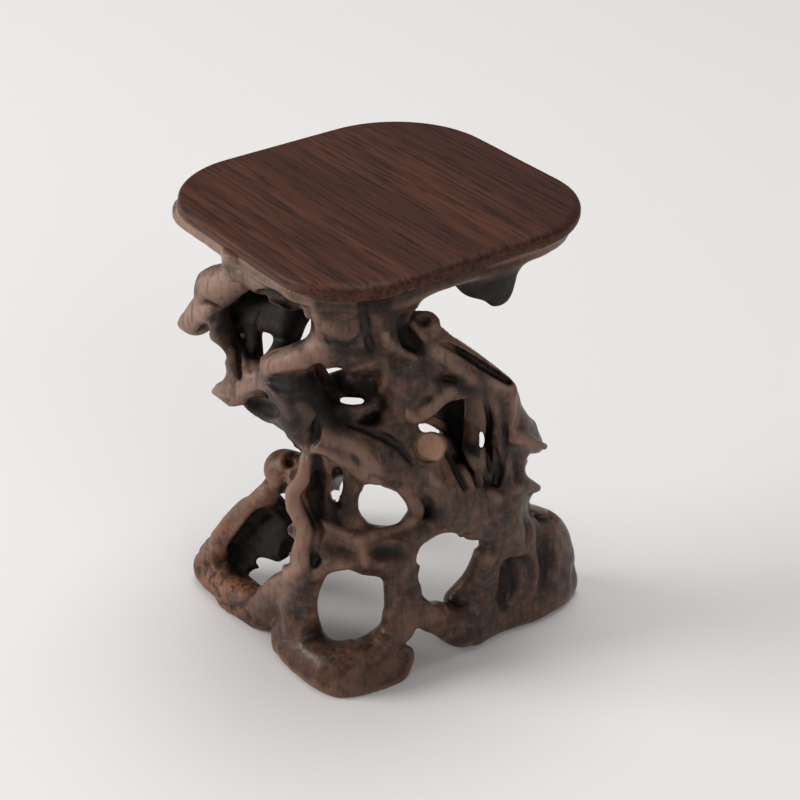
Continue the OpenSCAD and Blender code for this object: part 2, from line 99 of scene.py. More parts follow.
# Carved lines, as seen in the photograph: kind, radius and sink in millimetres, then the points of the
# line's course in the photograph's pixels. A ridge stands up along the wood that is seen there and a
# groove runs into it, with their middles sunk by `sink`. A bridge spans from its first point to its last.
# A spur grows from its first point to a tip that lies `sink` further back. A cut goes on along the line
# of sight for `sink`.
LINES = (
    # Knob arm, skirt and hollow at the upper left
    ("bridge", 3.0, 1.0, (232, 247), (233, 258), (231, 272)),
    ("bridge", 1.8, 0.8, (238, 274), (258, 281), (276, 283), (292, 293), (310, 312)),
    ("cut", 1.8, 5.0, (242, 298), (258, 295), (276, 296), (292, 305), (304, 318)),
    ("bridge", 4.5, 2.5, (246, 306), (266, 308), (290, 312)),
    ("bridge", 3.6, 2.0, (248, 322), (264, 320), (286, 326)),
    ("bridge", 2.4, 1.0, (254, 332), (255, 345), (256, 358)),
    ("groove", 1.8, -0.2, (196, 306), (206, 305), (218, 309)),
    ("groove", 1.6, 0.2, (199, 334), (206, 327), (217, 318)),
    ("ridge", 4.0, 2.6, (270, 366), (290, 362), (308, 354)),
    ("groove", 3.4, -1.2, (266, 384), (284, 384), (304, 379), (320, 368)),
    ("groove", 1.3, 0.2, (258, 350), (256, 364), (260, 378)),
    ("groove", 3.0, -0.6, (250, 404), (262, 409), (276, 412)),
    ("ridge", 1.3, 0.5, (240, 392), (256, 386), (268, 388), (280, 402), (291, 417)),
    ("spur", 2.2, 5.0, (232, 390), (222, 391), (213, 393)),
    ("spur", 1.8, 5.0, (243, 398), (234, 403), (228, 405)),
    ("cut", 3.2, 30.0, (205, 345), (214, 355), (219, 366), (216, 377)),
    ("groove", 0.8, 0.1, (238, 345), (240, 362), (240, 380)),
    ("groove", 0.8, 0.1, (248, 350), (250, 366), (252, 380)),
    ("ridge", 1.0, 0.4, (232, 350), (234, 366), (234, 382)),
    ("ridge", 1.0, 0.4, (244, 352), (246, 368), (247, 384)),
    # Neck and the throat under it
    ("ridge", 4.5, 3.3, (330, 322), (342, 325), (352, 330)),
    ("groove", 1.0, 0.2, (322, 338), (335, 345), (352, 343), (362, 335)),
    ("ridge", 1.6, 0.9, (318, 305), (320, 322), (322, 342)),
    ("groove", 1.4, 0.3, (362, 300), (364, 318), (368, 338), (372, 350)),
    ("ridge", 1.4, 0.7, (374, 304), (378, 320), (384, 336), (386, 345), (400, 352), (416, 357)),
    ("groove", 2.4, -1.2, (402, 318), (405, 330), (410, 342), (424, 350)),
    ("bridge", 2.6, 0.5, (316, 366), (322, 380), (334, 394), (345, 407)),
    ("bridge", 2.4, 0.5, (340, 409), (356, 411), (374, 404)),
    ("cut", 1.1, 40.0, (341, 400), (352, 401), (363, 401)),
    ("ridge", 1.2, 0.5, (380, 354), (386, 370), (384, 386), (376, 396)),
    # Curl, arm and spurs at the right
    ("cut", 2.0, 40.0, (441, 322), (463, 335), (484, 349), (500, 362), (514, 375)),
    ("groove", 1.7, -0.4, (424, 320)),
    ("ridge", 0.9, 0.3, (413, 328), (412, 319), (420, 315), (430, 315), (436, 321), (437, 330)),
    ("ridge", 2.0, 1.2, (428, 343), (448, 352), (470, 365), (496, 378), (511, 388), (514, 402),
     (512, 418)),
    ("cut", 1.25, 6.0, (442, 343), (460, 352), (478, 363), (494, 373), (510, 383)),
    ("groove", 2.6, -1.2, (432, 352), (450, 362), (470, 373), (490, 384)),
    ("ridge", 1.2, 0.5, (436, 354), (450, 366), (468, 377), (490, 384)),
    ("bridge", 3.0, 1.0, (430, 386), (448, 391), (468, 388)),
    ("bridge", 2.2, 0.8, (452, 390), (440, 400), (428, 410), (416, 416)),
    ("bridge", 1.7, 0.3, (411, 414), (427, 418), (446, 427)),
    ("cut", 0.9, 60.0, (419, 425), (428, 429), (439, 432)),
    ("bridge", 3.4, 0.5, (470, 382), (476, 400), (475, 425), (474, 448), (482, 472)),
    ("groove", 1.0, 0.2, (486, 395), (489, 420), (488, 445), (490, 470)),
    ("cut", 0.8, 40.0, (481, 432), (482, 440), (481, 447)),
    ("groove", 1.0, 0.2, (500, 392), (504, 412), (506, 432), (504, 455), (500, 478)),
    ("ridge", 1.2, 0.5, (508, 420), (516, 436), (528, 446)),
    ("spur", 3.4, 13.0, (518, 438), (533, 443), (545, 447)),
    ("spur", 3.2, 12.0, (516, 487), (527, 487), (537, 488)),
    ("cut", 1.6, 40.0, (547, 457), (538, 460), (531, 467), (532, 474), (542, 481)),
    ("groove", 1.2, 0.1, (446, 452), (456, 470), (466, 490)),
    ("ridge", 1.1, 0.3, (452, 450), (462, 468), (472, 488)),
    ("groove", 1.0, 0.1, (458, 449), (468, 466), (477, 485)),
    ("ridge", 1.0, 0.3, (463, 446), (472, 462), (481, 481)),
    ("groove", 1.0, 0.1, (494, 448), (498, 466), (496, 486)),
    ("groove", 2.4, -1.0, (510, 452), (518, 464), (520, 478)),
    # Folds of the trunk
    ("ridge", 2.0, 1.1, (302, 406), (309, 413), (306, 424)),
    ("ridge", 1.8, 0.9, (322, 428), (330, 438), (328, 448)),
    ("ridge", 2.2, 1.3, (336, 438), (356, 446), (370, 460), (382, 474)),
    ("groove", 1.4, 0.2, (316, 420), (316, 434), (310, 450)),
    ("groove", 1.2, 0.1, (348, 424), (372, 432), (398, 446), (412, 462)),
    ("ridge", 2.2, 1.4, (426, 526), (434, 524)),
    ("ridge", 2.2, 1.3, (488, 492), (498, 498)),
    ("ridge", 1.5, 0.8, (430, 476), (438, 485)),
    # Arch and stretcher
    ("groove", 2.6, -0.5, (316, 458), (317, 475), (316, 495), (318, 515)),
    ("cut", 1.9, 60.0, (337, 469), (337, 484), (334, 500)),
    ("ridge", 1.4, 0.6, (306, 447), (325, 450), (345, 462), (365, 477), (380, 482)),
    ("bridge", 2.6, 0.5, (404, 487), (413, 499), (416, 511), (410, 522)),
    ("ridge", 1.7, 0.9, (319, 522), (340, 533), (358, 541), (364, 552), (366, 566)),
    ("ridge", 1.5, 0.8, (358, 541), (376, 535), (398, 529), (414, 522)),
    ("groove", 4.2, -2.2, (376, 550), (388, 553), (402, 552)),
    ("groove", 4.0, -2.2, (324, 546), (338, 552), (352, 562)),
    ("bridge", 2.6, 0.8, (316, 573), (328, 565), (346, 561)),
    ("cut", 2.0, 60.0, (474, 541), (480, 548)),
    ("bridge", 4.0, 1.0, (486, 556), (474, 580), (456, 600)),
    ("cut", 2.2, 40.0, (420, 562), (427, 550), (440, 541), (456, 537)),
    # Rope leg and the foot at the left
    ("bridge", 2.2, 1.0, (266, 490), (249, 505), (234, 516), (217, 537)),
    ("cut", 2.4, 4.0, (278, 508), (260, 516), (246, 532), (230, 550)),
    ("cut", 2.0, 40.0, (259, 561), (270, 566), (278, 569)),
    ("cut", 2.2, 4.0, (296, 452), (294, 464), (292, 477)),
    ("ridge", 6.2, 3.6, (284, 469)),
    ("groove", 1.5, -0.3, (290, 463)),
    ("ridge", 0.8, 0.2, (299, 463), (296, 470), (290, 472), (284, 470), (281, 463), (284, 456),
     (290, 454), (296, 456), (299, 463)),
    ("groove", 2.0, -0.4, (290, 480), (282, 494), (284, 512), (292, 530), (287, 550), (286, 564)),
    ("groove", 2.0, -0.4, (315, 466), (314, 482), (305, 496), (310, 514), (318, 532), (314, 550),
     (315, 566)),
    ("ridge", 2.4, 1.2, (305, 458), (303, 478), (293, 494), (297, 512), (305, 530), (300, 550),
     (301, 566), (284, 577)),
    # Front foot and right foot
    ("cut", 2.4, 40.0, (332, 576), (327, 592), (325, 610), (328, 630)),
    ("ridge", 2.6, 1.6, (284, 662), (310, 680), (340, 690), (364, 693), (390, 684), (405, 670),
     (410, 652)),
    ("ridge", 1.4, 0.7, (528, 506), (545, 513), (558, 520)),
    ("groove", 1.2, 0.2, (524, 515), (530, 530), (528, 548)),
    ("groove", 4.0, -2.2, (540, 528), (549, 548), (551, 572), (546, 594)),
    ("groove", 4.2, -2.2, (506, 562), (512, 584), (508, 608)),
    ("ridge", 1.6, 0.9, (530, 550), (534, 575), (529, 604)),
)

# Darker and paler wood, painted shade and painted highlights, as seen in the photograph: an amount from -1,
# darkest, to 1, palest, a radius in millimetres, then the points of the course in the photograph's pixels
# The dark strokes in the hollows, slits and recesses are painted shade, and the pale strokes along lit
# ridges, rims, the rope leg and the board's lip are painted highlights; the rest is darker and paler wood
STAINS_AND_LIGHT = (
    # Knob arm, skirt and hollow at the upper left
    (1.0, 5.0, (176, 214), (190, 228), (214, 243), (226, 252)),
    (0.7, 1.2, (226, 246), (246, 259), (270, 274), (292, 286)),
    (0.5, 3.0, (236, 268), (252, 280), (276, 284)),
    (1.0, 6.0, (204, 284), (222, 280), (236, 284)),
    (1.0, 5.0, (186, 318), (204, 308)),
    (-0.9, 2.4, (206, 328)),
    (-1.0, 8.0, (236, 302), (258, 302), (284, 308), (300, 322)),
    (-1.0, 6.0, (226, 318), (236, 332), (248, 348)),
    (-1.0, 5.0, (284, 334), (300, 342)),
    (-0.7, 4.0, (214, 330), (224, 348), (230, 364)),
    (0.7, 4.5, (274, 364), (296, 358), (318, 346)),
    (-0.9, 4.5, (274, 388), (294, 390), (316, 382)),
    (-1.0, 3.5, (250, 405), (268, 411)),
    (0.8, 1.5, (267, 386), (280, 402), (291, 417)),
    (0.35, 3.0, (218, 393), (242, 391), (252, 378)),
    # Neck, drop and throat
    (0.5, 2.6, (306, 302), (317, 318), (322, 342)),
    (0.3, 4.0, (330, 326), (350, 328)),
    (-0.8, 5.0, (372, 308), (392, 314), (402, 330)),
    (-0.6, 5.0, (320, 305), (350, 308), (380, 302)),
    (-0.8, 3.0, (392, 296), (420, 288), (450, 279), (484, 268)),
    (0.8, 1.6, (500, 262), (530, 253), (562, 240)),
    (-0.7, 8.0, (502, 284), (496, 302)),
    (-0.8, 3.5, (338, 350), (368, 353)),
    (0.4, 1.4, (344, 374), (362, 367), (374, 362)),
    (-1.0, 5.0, (336, 386), (358, 390), (376, 390)),
    # Curl and arm
    (0.9, 1.6, (386, 335), (393, 345), (415, 357)),
    (0.6, 1.6, (413, 324), (424, 340)),
    (0.6, 1.4, (433, 321), (434, 336)),
    (-0.8, 2.0, (424, 320)),
    (-0.8, 3.0, (402, 336), (420, 350)),
    (1.0, 2.2, (436, 352), (455, 366), (472, 378)),
    (-0.6, 4.0, (424, 368), (450, 380), (484, 392)),
    (0.7, 2.2, (492, 382), (512, 390), (516, 410), (514, 430)),
    (0.8, 2.0, (424, 412), (438, 402), (450, 393)),
    (-1.0, 7.0, (452, 402), (458, 424), (462, 446)),
    (-0.8, 1.4, (446, 452), (456, 470), (466, 490)),
    (-0.8, 1.2, (458, 449), (468, 466), (477, 485)),
    (-0.7, 2.0, (501, 400), (505, 440), (499, 480)),
    (-0.6, 4.0, (466, 392), (474, 410), (476, 450)),
    (0.7, 1.2, (470, 420), (474, 432), (472, 442)),
    (0.4, 3.0, (514, 438), (532, 443)),
    (0.7, 2.6, (489, 494), (500, 500)),
    # Trunk
    (-0.8, 5.0, (306, 388), (324, 400), (340, 418)),
    (0.7, 3.0, (302, 405), (310, 417)),
    (0.6, 3.0, (321, 429), (330, 441)),
    (0.6, 4.0, (338, 440), (360, 450), (376, 468)),
    (0.6, 2.0, (300, 447), (345, 462), (378, 482)),
    (0.6, 2.0, (430, 476), (438, 485)),
    (-0.3, 6.0, (396, 416), (412, 446), (400, 474)),
    (-0.4, 4.0, (328, 412), (350, 420), (366, 428)),
    # Arch and stretcher
    (-1.0, 3.5, (316, 456), (316, 488), (318, 520)),
    (-0.8, 4.0, (344, 486), (350, 514)),
    (0.5, 2.0, (322, 523), (345, 535), (360, 545), (365, 562)),
    (0.5, 2.0, (362, 540), (385, 532), (412, 522)),
    (-0.8, 3.2, (326, 549), (344, 558)),
    (-0.8, 4.0, (378, 552), (402, 556)),
    # Rope leg and the foot at the left
    (1.0, 2.4, (305, 458), (303, 478), (293, 494), (297, 512), (305, 530), (300, 550), (301, 566),
     (284, 577)),
    (-0.9, 2.0, (284, 500), (289, 530), (285, 554)),
    (-1.0, 8.0, (238, 544), (262, 530), (280, 516)),
    (-1.0, 5.0, (234, 572), (250, 562)),
    (0.5, 3.0, (252, 499), (272, 490)),
    (0.4, 3.0, (218, 528), (203, 556)),
    # Front foot and right foot
    (0.3, 4.0, (340, 688), (372, 692)),
    (0.3, 4.0, (534, 514), (556, 528), (564, 556)),
)


def length_setting(label, text, size, least=0.0):
    """A length that a user may change, given here in millimetres."""
    return bpy.props.FloatProperty(
        name=label, description=text, default=size * MM, min=least * MM, unit="LENGTH", precision=5)


def angle_setting(label, text, degrees):
    """An angle that a user may change."""
    return bpy.props.FloatProperty(
        name=label, description=text, default=math.radians(degrees), subtype="ANGLE")


def share_setting(label, text, part):
    """A share from 0 to 1 that a user may change."""
    return bpy.props.FloatProperty(
        name=label, description=text, default=part, min=0, max=1, subtype="FACTOR")


def colour_setting(label, text, rgb):
    """A colour that a user may change."""
    return bpy.props.FloatVectorProperty(
        name=label, description=text, default=rgb, min=0, max=1, size=3, subtype="COLOR")


class StandCarving(bpy.types.PropertyGroup):
    """How the limbs are blended and carved."""

    step: length_setting("Grid step", "Distance between the points of the carving grid", 0.5, least=0.3)
    fillet: length_setting("Fillet", "Reach of the blend where two limbs meet", 4)
    swell: length_setting("Swell", "Height of the slow swells on the limbs", 0.6)
    fold: length_setting("Folds", "Height of the folds that wander over the limbs", 0.6)
    chip: length_setting("Chips", "Height of the crests between the knife's cuts", 0.38)
    ripple: length_setting("Ripple", "Height of the small ripples on the limbs", 0.1)
    seed: bpy.props.IntProperty(name="Seed", description="Seed of the swells and ripples", default=7)


class StandBoard(bpy.types.PropertyGroup):
    """Form of the top board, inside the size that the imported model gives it."""

    corner_front: length_setting("Front corner", "Radius of the corner at the front", 26)
    corner_left: length_setting("Left corner", "Radius of the corner at the left", 30)
    corner_back: length_setting("Back corner", "Radius of the corner at the back", 33)
    corner_right: length_setting("Right corner", "Radius of the corner at the right", 28)
    edge: length_setting("Rolled edge", "Radius of the board's rolled edge", 1.9)
    wave: length_setting("Edge wave", "How far the hand-cut edge wanders inwards", 0.12)


class StandWood(bpy.types.PropertyGroup):
    """Colours and polish of the wood."""

    heart: colour_setting("Heartwood", "Main colour of the carved limbs", (0.038, 0.0175, 0.012))
    # Dark colour of the grain, mottle and clouds, and also of the painted shade in the hollows and creases
    shade: colour_setting("Hollows", "Colour deep in the carving", (0.007, 0.005, 0.004))
    # Lighter colour of wear on the ridges, which also paints their highlights
    worn_and_highlight: colour_setting("Worn ridges", "Colour where the ridges are rubbed", (0.23, 0.118, 0.077))
    # Paler wood, which also paints the highlights on lit ridges and rims and the light on the knob arm
    pale: colour_setting("Pale limbs", "Colour of the paler limbs", (0.37, 0.232, 0.172))
    russet: colour_setting("Russet foot", "Colour of the rough foot at the left", (0.24, 0.10, 0.05))
    end_grain: colour_setting("End grain", "Colour of the sawn stub", (0.60, 0.33, 0.20))
    board: colour_setting("Board", "Main colour of the top board", (0.039, 0.013, 0.0085))
    streak: colour_setting("Board streaks", "Colour of the board's lighter streaks", (0.118, 0.040, 0.022))
    pore: colour_setting("Board pores", "Colour of the board's dark pore lines", (0.016, 0.007, 0.006))
    dowel: colour_setting("Dowels", "Colour of the hidden dowels", (0.36, 0.22, 0.12))
    polish: share_setting("Polish", "Roughness of the waxed wood", 0.36)


class StandStage(bpy.types.PropertyGroup):
    """Camera and floor."""

    azimuth: angle_setting("Azimuth", "Angle of the camera round the stand", 54)
    elevation: angle_setting("Elevation", "Angle of the camera above the floor", 30)
    distance: length_setting("Distance", "Distance from the camera to the middle of the stand", 672)
    aim: bpy.props.FloatVectorProperty(
        name="Aim", description="Point of the stand that the camera is set by",
        subtype="TRANSLATION", size=3, default=(0, 0, 70 * MM))
    focal: bpy.props.FloatProperty(
        name="Focal length", description="Focal length on a 36 mm sensor", default=95.44, min=10)
    aim_across: share_setting(
        "Aim across", "Where the aim lies across the picture, as a share of its width", 0.4729)
    aim_down: share_setting(
        "Aim down", "Where the aim lies down the picture, as a share of its width", 0.4961)
    floor: colour_setting("Floor", "Colour of the floor", (0.87, 0.85, 0.84))


# Widths of the camera's sensor in millimetres and of the picture in pixels
SENSOR = 36.0
PICTURE = 800


def settings(context):
    """The four groups of settings: carving, board, wood and stage."""
    s = context.scene
    return s.stand_carving, s.stand_board, s.stand_wood, s.stand_stage


# Camera

def view_axes(stage):
    """The camera's right, up and back directions and its place, in metres."""
    a, e = stage.azimuth, stage.elevation
    back = np.array([math.sin(a) * math.cos(e), -math.cos(a) * math.cos(e), math.sin(e)])
    right = np.array([math.cos(a), math.sin(a), 0.0])
    up = np.cross(back, right)
    span = stage.distance * SENSOR / stage.focal
    place = np.array(stage.aim) + back * stage.distance
    place -= right * (stage.aim_across - 0.5) * span
    place += up * (stage.aim_down - 0.5) * span
    return right, up, back, place


# Distance fields

class Block:
    """The grid that the frame is carved on. Lengths are in millimetres."""

    def __init__(self, low, high, step, band):
        self.step = step
        self.band = band
        self.first = np.floor((np.array(low) - band) / step).astype(int)
        last = np.ceil((np.array(high) + band) / step).astype(int)
        self.shape = tuple(last - self.first + 1)
        self.transform = openvdb.createLinearTransform(voxelSize=step)

    def window(self, low, high):
        """Slices of the grid that hold a box, as far as the grid reaches."""
        a = np.floor(np.array(low) / self.step).astype(int) - self.first
        b = np.ceil(np.array(high) / self.step).astype(int) - self.first + 1
        a = np.clip(a, 0, self.shape)
        b = np.clip(b, 0, self.shape)
        return tuple(slice(int(i), int(j)) for i, j in zip(a, b))

    def axes(self, window):
        """Coordinates of a window's points along X, Y and Z, shaped to spread over it."""
        x, y, z = [
            (np.arange(w.start, w.stop) + f) * self.step for w, f in zip(window, self.first)]
        return x[:, None, None], y[None, :, None], z[None, None, :]

    def whole(self):
        """The window that holds the whole grid."""
        return tuple(slice(0, n) for n in self.shape)

    def corner(self, window):
        """Grid numbers of a window's first point."""
        return tuple(int(w.start + f) for w, f in zip(window, self.first))

    def sample(self, field, points, stride=1):
        """Field values at points, blended between the grid's points; a coarse field has every stride-th."""
        q = (np.asarray(points) / self.step - self.first) / stride
        top = np.array(field.shape) - 2
        i = np.clip(np.floor(q).astype(int), 0, top)
        f = np.clip(q - i, 0, 1)
        total = 0
        for corner in np.ndindex(2, 2, 2):
            weight = np.prod(np.where(corner, f, 1 - f), axis=-1)
            at = i + corner
            total = total + weight * field[at[..., 0], at[..., 1], at[..., 2]]
        return total


def node_mesh(name):
    """Corners, in millimetres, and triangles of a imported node."""
    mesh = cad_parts[name].data
    mesh.calc_loop_triangles()
    points = np.empty(len(mesh.vertices) * 3, np.float32)
    mesh.vertices.foreach_get("co", points)
    faces = np.empty(len(mesh.loop_triangles) * 3, np.int32)
    mesh.loop_triangles.foreach_get("vertices", faces)
    return points.reshape(-1, 3) / np.float32(MM), faces.reshape(-1, 3)


def node_field(block, name):
    """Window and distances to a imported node's surface there, negative inside."""
    points, faces = node_mesh(name)
    grid = openvdb.FloatGrid.createLevelSetFromPolygons(
        points, triangles=faces.astype(np.uint32), transform=block.transform,
        halfWidth=block.band / block.step)
    window = block.window(points.min(axis=0) - block.band, points.max(axis=0) + block.band)
    field = np.empty([w.stop - w.start for w in window], np.float32)
    grid.copyToArray(field, ijk=block.corner(window))
    return window, field


def girth(name):
    """Rough radius of a node: twice its volume over its area, as for a round bar."""
    points, faces = node_mesh(name)
    a, b, c = points[faces[:, 0]], points[faces[:, 1]], points[faces[:, 2]]
    area = np.linalg.norm(np.cross(b - a, c - a), axis=1).sum() / 2
    volume = np.einsum("ij,ij->i", a, np.cross(b, c)).sum() / 6
    return 2 * volume / area


# How far a blur reaches, in spreads
BLUR_REACH = 2.5


def blur(field, spread):
    """Gaussian blur; the spread is in grid steps."""
    reach = max(1, math.ceil(BLUR_REACH * spread))
    weights = np.exp(-0.5 * (np.arange(-reach, reach + 1) / spread) ** 2)
    weights = (weights / weights.sum()).astype(np.float32)
    for axis in range(3):
        pad = [(reach, reach) if i == axis else (0, 0) for i in range(3)]
        wide = np.pad(field, pad, mode="edge")
        n = field.shape[axis]
        total = 0
        for k, w in enumerate(weights):
            part = [slice(None)] * 3
            part[axis] = slice(k, k + n)
            total = total + w * wide[tuple(part)]
        field = total
    return field


def smooth_min(a, b, reach):
    """The lower of two fields, rounded over where they come within reach of each other."""
    h = np.maximum(reach - np.abs(a - b), 0) / reach
    return np.minimum(a, b) - h * h * reach / 4


def smooth_max(a, b, reach):
    """The higher of two fields, rounded in the same way."""
    return -smooth_min(-a, -b, reach)


# Height of the noise before it is smoothed, and the cells that the smoothing needs past the grid
LUMP_HEIGHT = 1.9
LUMP_MARGIN = 3


def lumps(block, size, seed):
    """Smooth noise of about -1 to 1 all over the grid, with lumps of the given size."""
    cells = np.ceil(np.array(block.shape) * block.step / size).astype(int) + LUMP_MARGIN
    noise = np.random.default_rng(seed).uniform(-LUMP_HEIGHT, LUMP_HEIGHT, cells).astype(np.float32)
    for axis, count in enumerate(block.shape):
        cell, f = np.divmod(np.arange(count) * block.step / size, 1)
        weights = ((1 - f) ** 3 / 6, (3 * f ** 3 - 6 * f ** 2 + 4) / 6,
                   (3 * f ** 2 - 3 * f ** 3 + 3 * f + 1) / 6, f ** 3 / 6)
        total = 0
        for k, weight in enumerate(weights):
            lined = weight.astype(np.float32).reshape([-1 if i == axis else 1 for i in range(3)])
            total = total + lined * np.take(noise, cell.astype(int) + k, axis)
        noise = total
    return noise


# Lengths in the carving are in millimetres. Each limb is smoothed by a share of its girth, held to a
# range, or by a length of its own.
SMOOTH_SHARE = 0.2
SMOOTH_RANGE = (0.8, 2.5)
SMOOTH_OWN = {
    "apron": 0.45, "cut_stub": 0.5, "apron_drop": 0.9, "spur_arm": 0.7, "knob_arm": 0.8,
    "cross_limb": 0.6, "right_foot": 1.6,
}
# How much of the common fillet a limb takes, where that isn't all, and the cove up to the board
FILLET_OWN = {APRON: 1.5, "cut_stub": 0.25}
COVE_FILLET = 3.5
FINISH_SMOOTH = 0.55
# Sizes of the lumps that make the swells, folds, knife chips and ripples, and the height of a crest
SWELL_SIZE = 11.0
FOLD_SIZE = 8.0
CHIP_SIZE = 4.0
RIPPLE_SIZE = 2.2
CREST = 0.8
# How much of the swells and folds a limb takes, where that isn't all
ROUGHNESS = {APRON: 0.15, "apron_skirt": 0.3, "apron_drop": 0.4, "knob_arm": 0.35, "cross_limb": 0.5,
             "cut_stub": 0.0, "right_foot": 0.8}
CALM_SPREAD = 2.0


def blended(block, fields, lid, fillet):
    """One field for all the limbs, with fillets where they meet and a cove up to the board."""
    wood = np.full(block.shape, block.band, np.float32)
    for name, (window, field) in fields.items():
        spread = SMOOTH_OWN.get(name, np.clip(SMOOTH_SHARE * girth(name), *SMOOTH_RANGE))
        soft = blur(field, spread / block.step)
        wood[window] = smooth_min(wood[window], soft, fillet * FILLET_OWN.get(name, 1))
    window, field = lid
    wood[window] = smooth_min(wood[window], field, COVE_FILLET)
    return blur(wood, FINISH_SMOOTH / block.step)


def swollen(block, wood, who, carving):
    """The field with slow swells, folds, knife chips and small ripples, calmer on some limbs."""
    seed = carving.seed
    rise = carving.swell * lumps(block, SWELL_SIZE, seed)
    rise += carving.fold * (CREST - 2 * np.abs(lumps(block, FOLD_SIZE, seed + 1)))
    rise += carving.chip * (CREST - 2 * np.abs(lumps(block, CHIP_SIZE, seed + 2)))
    rise += carving.ripple * lumps(block, RIPPLE_SIZE, seed + 3)
    rough = np.array([ROUGHNESS.get(name, 1) for name in CARVED], np.float32)
    return wood - rise * blur(rough[who], CALM_SPREAD / block.step) / np.float32(MM)


# The sawn stub: its middle in the photograph, and its sizes
STUB = "cut_stub"
STUB_PIXEL = (429.5, 446)
STUB_RADIUS = 4.2
STUB_CLEAR = 0.7
STUB_ROUND = 0.5


def sawn_stub(block, wood, stage):
    """Saws the stub square to the line of sight, clears the wood round it, and gives the sawn wood."""
    start, rays, _ = seen_depth(block, wood, [STUB_PIXEL], stage)
    way = rays[0]
    points = node_mesh(STUB)[0]
    depth = float(((points - start) @ way).min()) + STUB_ROUND
    at = start + way * depth
    reach = STUB_RADIUS + block.band
    window = block.window(at - reach, at + reach)
    x, y, z = block.axes(window)
    along = (x - at[0]) * way[0] + (y - at[1]) * way[1] + (z - at[2]) * way[2]
    away = np.sqrt(np.maximum((x - at[0]) ** 2 + (y - at[1]) ** 2 + (z - at[2]) ** 2 - along ** 2, 0))
    clear = np.maximum(away - STUB_RADIUS - STUB_CLEAR, along - STUB_CLEAR)
    stub = smooth_max(smooth_max(away - STUB_RADIUS, -along, STUB_ROUND), along - STUB_RADIUS, STUB_ROUND)
    wood[window] = np.minimum(np.maximum(wood[window], -clear), stub).astype(np.float32)
    sawn = np.zeros(block.shape, np.float32)
    sawn[window] = np.clip(0.5 - (stub - STUB_CLEAR / 2) / block.step, 0, 1)
    return sawn


def owners(block, fields):
    """For every grid point its nearest limb, and its distances to that one and to the next."""
    first = np.full(block.shape, block.band, np.float32)
    second = np.full(block.shape, block.band, np.float32)
    who = np.zeros(block.shape, np.int16)
    for k, (window, field) in enumerate(fields.values()):
        a = first[window]
        closer = field < a
        second[window] = np.where(closer, a, np.minimum(second[window], field))
        first[window] = np.where(closer, field, a)
        who[window][closer] = k
    return first, second, who


# How far a limb reaches under its neighbour, and how steeply its surface dips there
TONGUE = 0.9
TONGUE_DIP = 0.5


def limb_field(k, window, field, wood, first, second, who):
    """The blended wood that belongs to one limb, with a thin tongue under its neighbours."""
    other = np.where(who[window] == k, second[window], first[window])
    past = (field - other) / 2
    return np.maximum(wood[window] + TONGUE_DIP * np.maximum(past, 0), past - TONGUE)


def quads_of(block, window, field):
    """Closed quad mesh of a window's field: corners in millimetres, and quads."""
    grid = openvdb.FloatGrid(block.band)
    grid.transform = block.transform
    grid.copyFromArray(np.ascontiguousarray(field), ijk=block.corner(window), tolerance=0.0)
    points, quads = grid.convertToQuads(isovalue=0.0)
    return points, quads.astype(np.int64)


# Fewest corners of an island that stays
CRUMB = 60


def labels_of(count, faces):
    """A label for each corner that is the same all over one connected island."""
    label = np.arange(count)
    edges = np.concatenate([faces[:, [i, (i + 1) % faces.shape[1]]] for i in range(faces.shape[1])])
    while True:
        low = np.minimum(label[edges[:, 0]], label[edges[:, 1]])
        new = label.copy()
        np.minimum.at(new, edges[:, 0], low)
        np.minimum.at(new, edges[:, 1], low)
        new = new[new]
        if np.array_equal(new, label):
            return label
        label = new


def large_islands(points, faces):
    """A mesh without its crumbs, which are islands of few corners."""
    label = labels_of(len(points), faces)
    keep = np.bincount(label, minlength=len(points))[label] >= CRUMB
    number = np.cumsum(keep) - 1
    return points[keep], number[faces[keep[faces[:, 0]]]]


def new_object(name, points, faces):
    """A mesh object at the origin from corners in metres and faces of one size."""
    mesh = bpy.data.meshes.new(name)
    sides = faces.shape[1]
    mesh.vertices.add(len(points))
    mesh.vertices.foreach_set("co", np.asarray(points, np.float32).ravel())
    mesh.loops.add(faces.size)
    mesh.loops.foreach_set("vertex_index", faces.astype(np.int32).ravel())
    mesh.polygons.add(len(faces))
    mesh.polygons.foreach_set("loop_start", np.arange(0, faces.size, sides, dtype=np.int32))
    mesh.polygons.foreach_set("use_smooth", np.ones(len(faces), bool))
    mesh.update(calc_edges=True)
    mesh.validate()
    obj = bpy.data.objects.new(name, mesh)
    bpy.context.scene.collection.objects.link(obj)
    return obj


def set_values(obj, name, values):
    """Stores one number per corner of a mesh, for its material to read."""
    layer = obj.data.attributes.new(name, "FLOAT", "POINT")
    layer.data.foreach_set("value", np.asarray(values, np.float32))


def place_piece(obj, node):
    """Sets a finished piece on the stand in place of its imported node."""
    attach(obj, BODY)
    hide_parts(node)


# Carving along lines

def spline(points, steps):
    """Smooth curve through points."""
    p = np.asarray(points, float)
    if len(p) < 2:
        return p
    p = np.concatenate([p[:1], p, p[-1:]])
    t = np.linspace(0, 1, steps, endpoint=False)[:, None]
    parts = []
    for a, b, c, d in zip(p, p[1:], p[2:], p[3:]):
        parts.append(b + 0.5 * t * (c - a + t * (2 * a - 5 * b + 4 * c - d + t * (3 * (b - c) + d - a))))
    return np.concatenate(parts + [p[-1:]])


# How far a ray goes on at a time: a share of its distance from the wood, and at least a share of a step
RAY_SHARE = 0.5
RAY_LEAST = 0.25


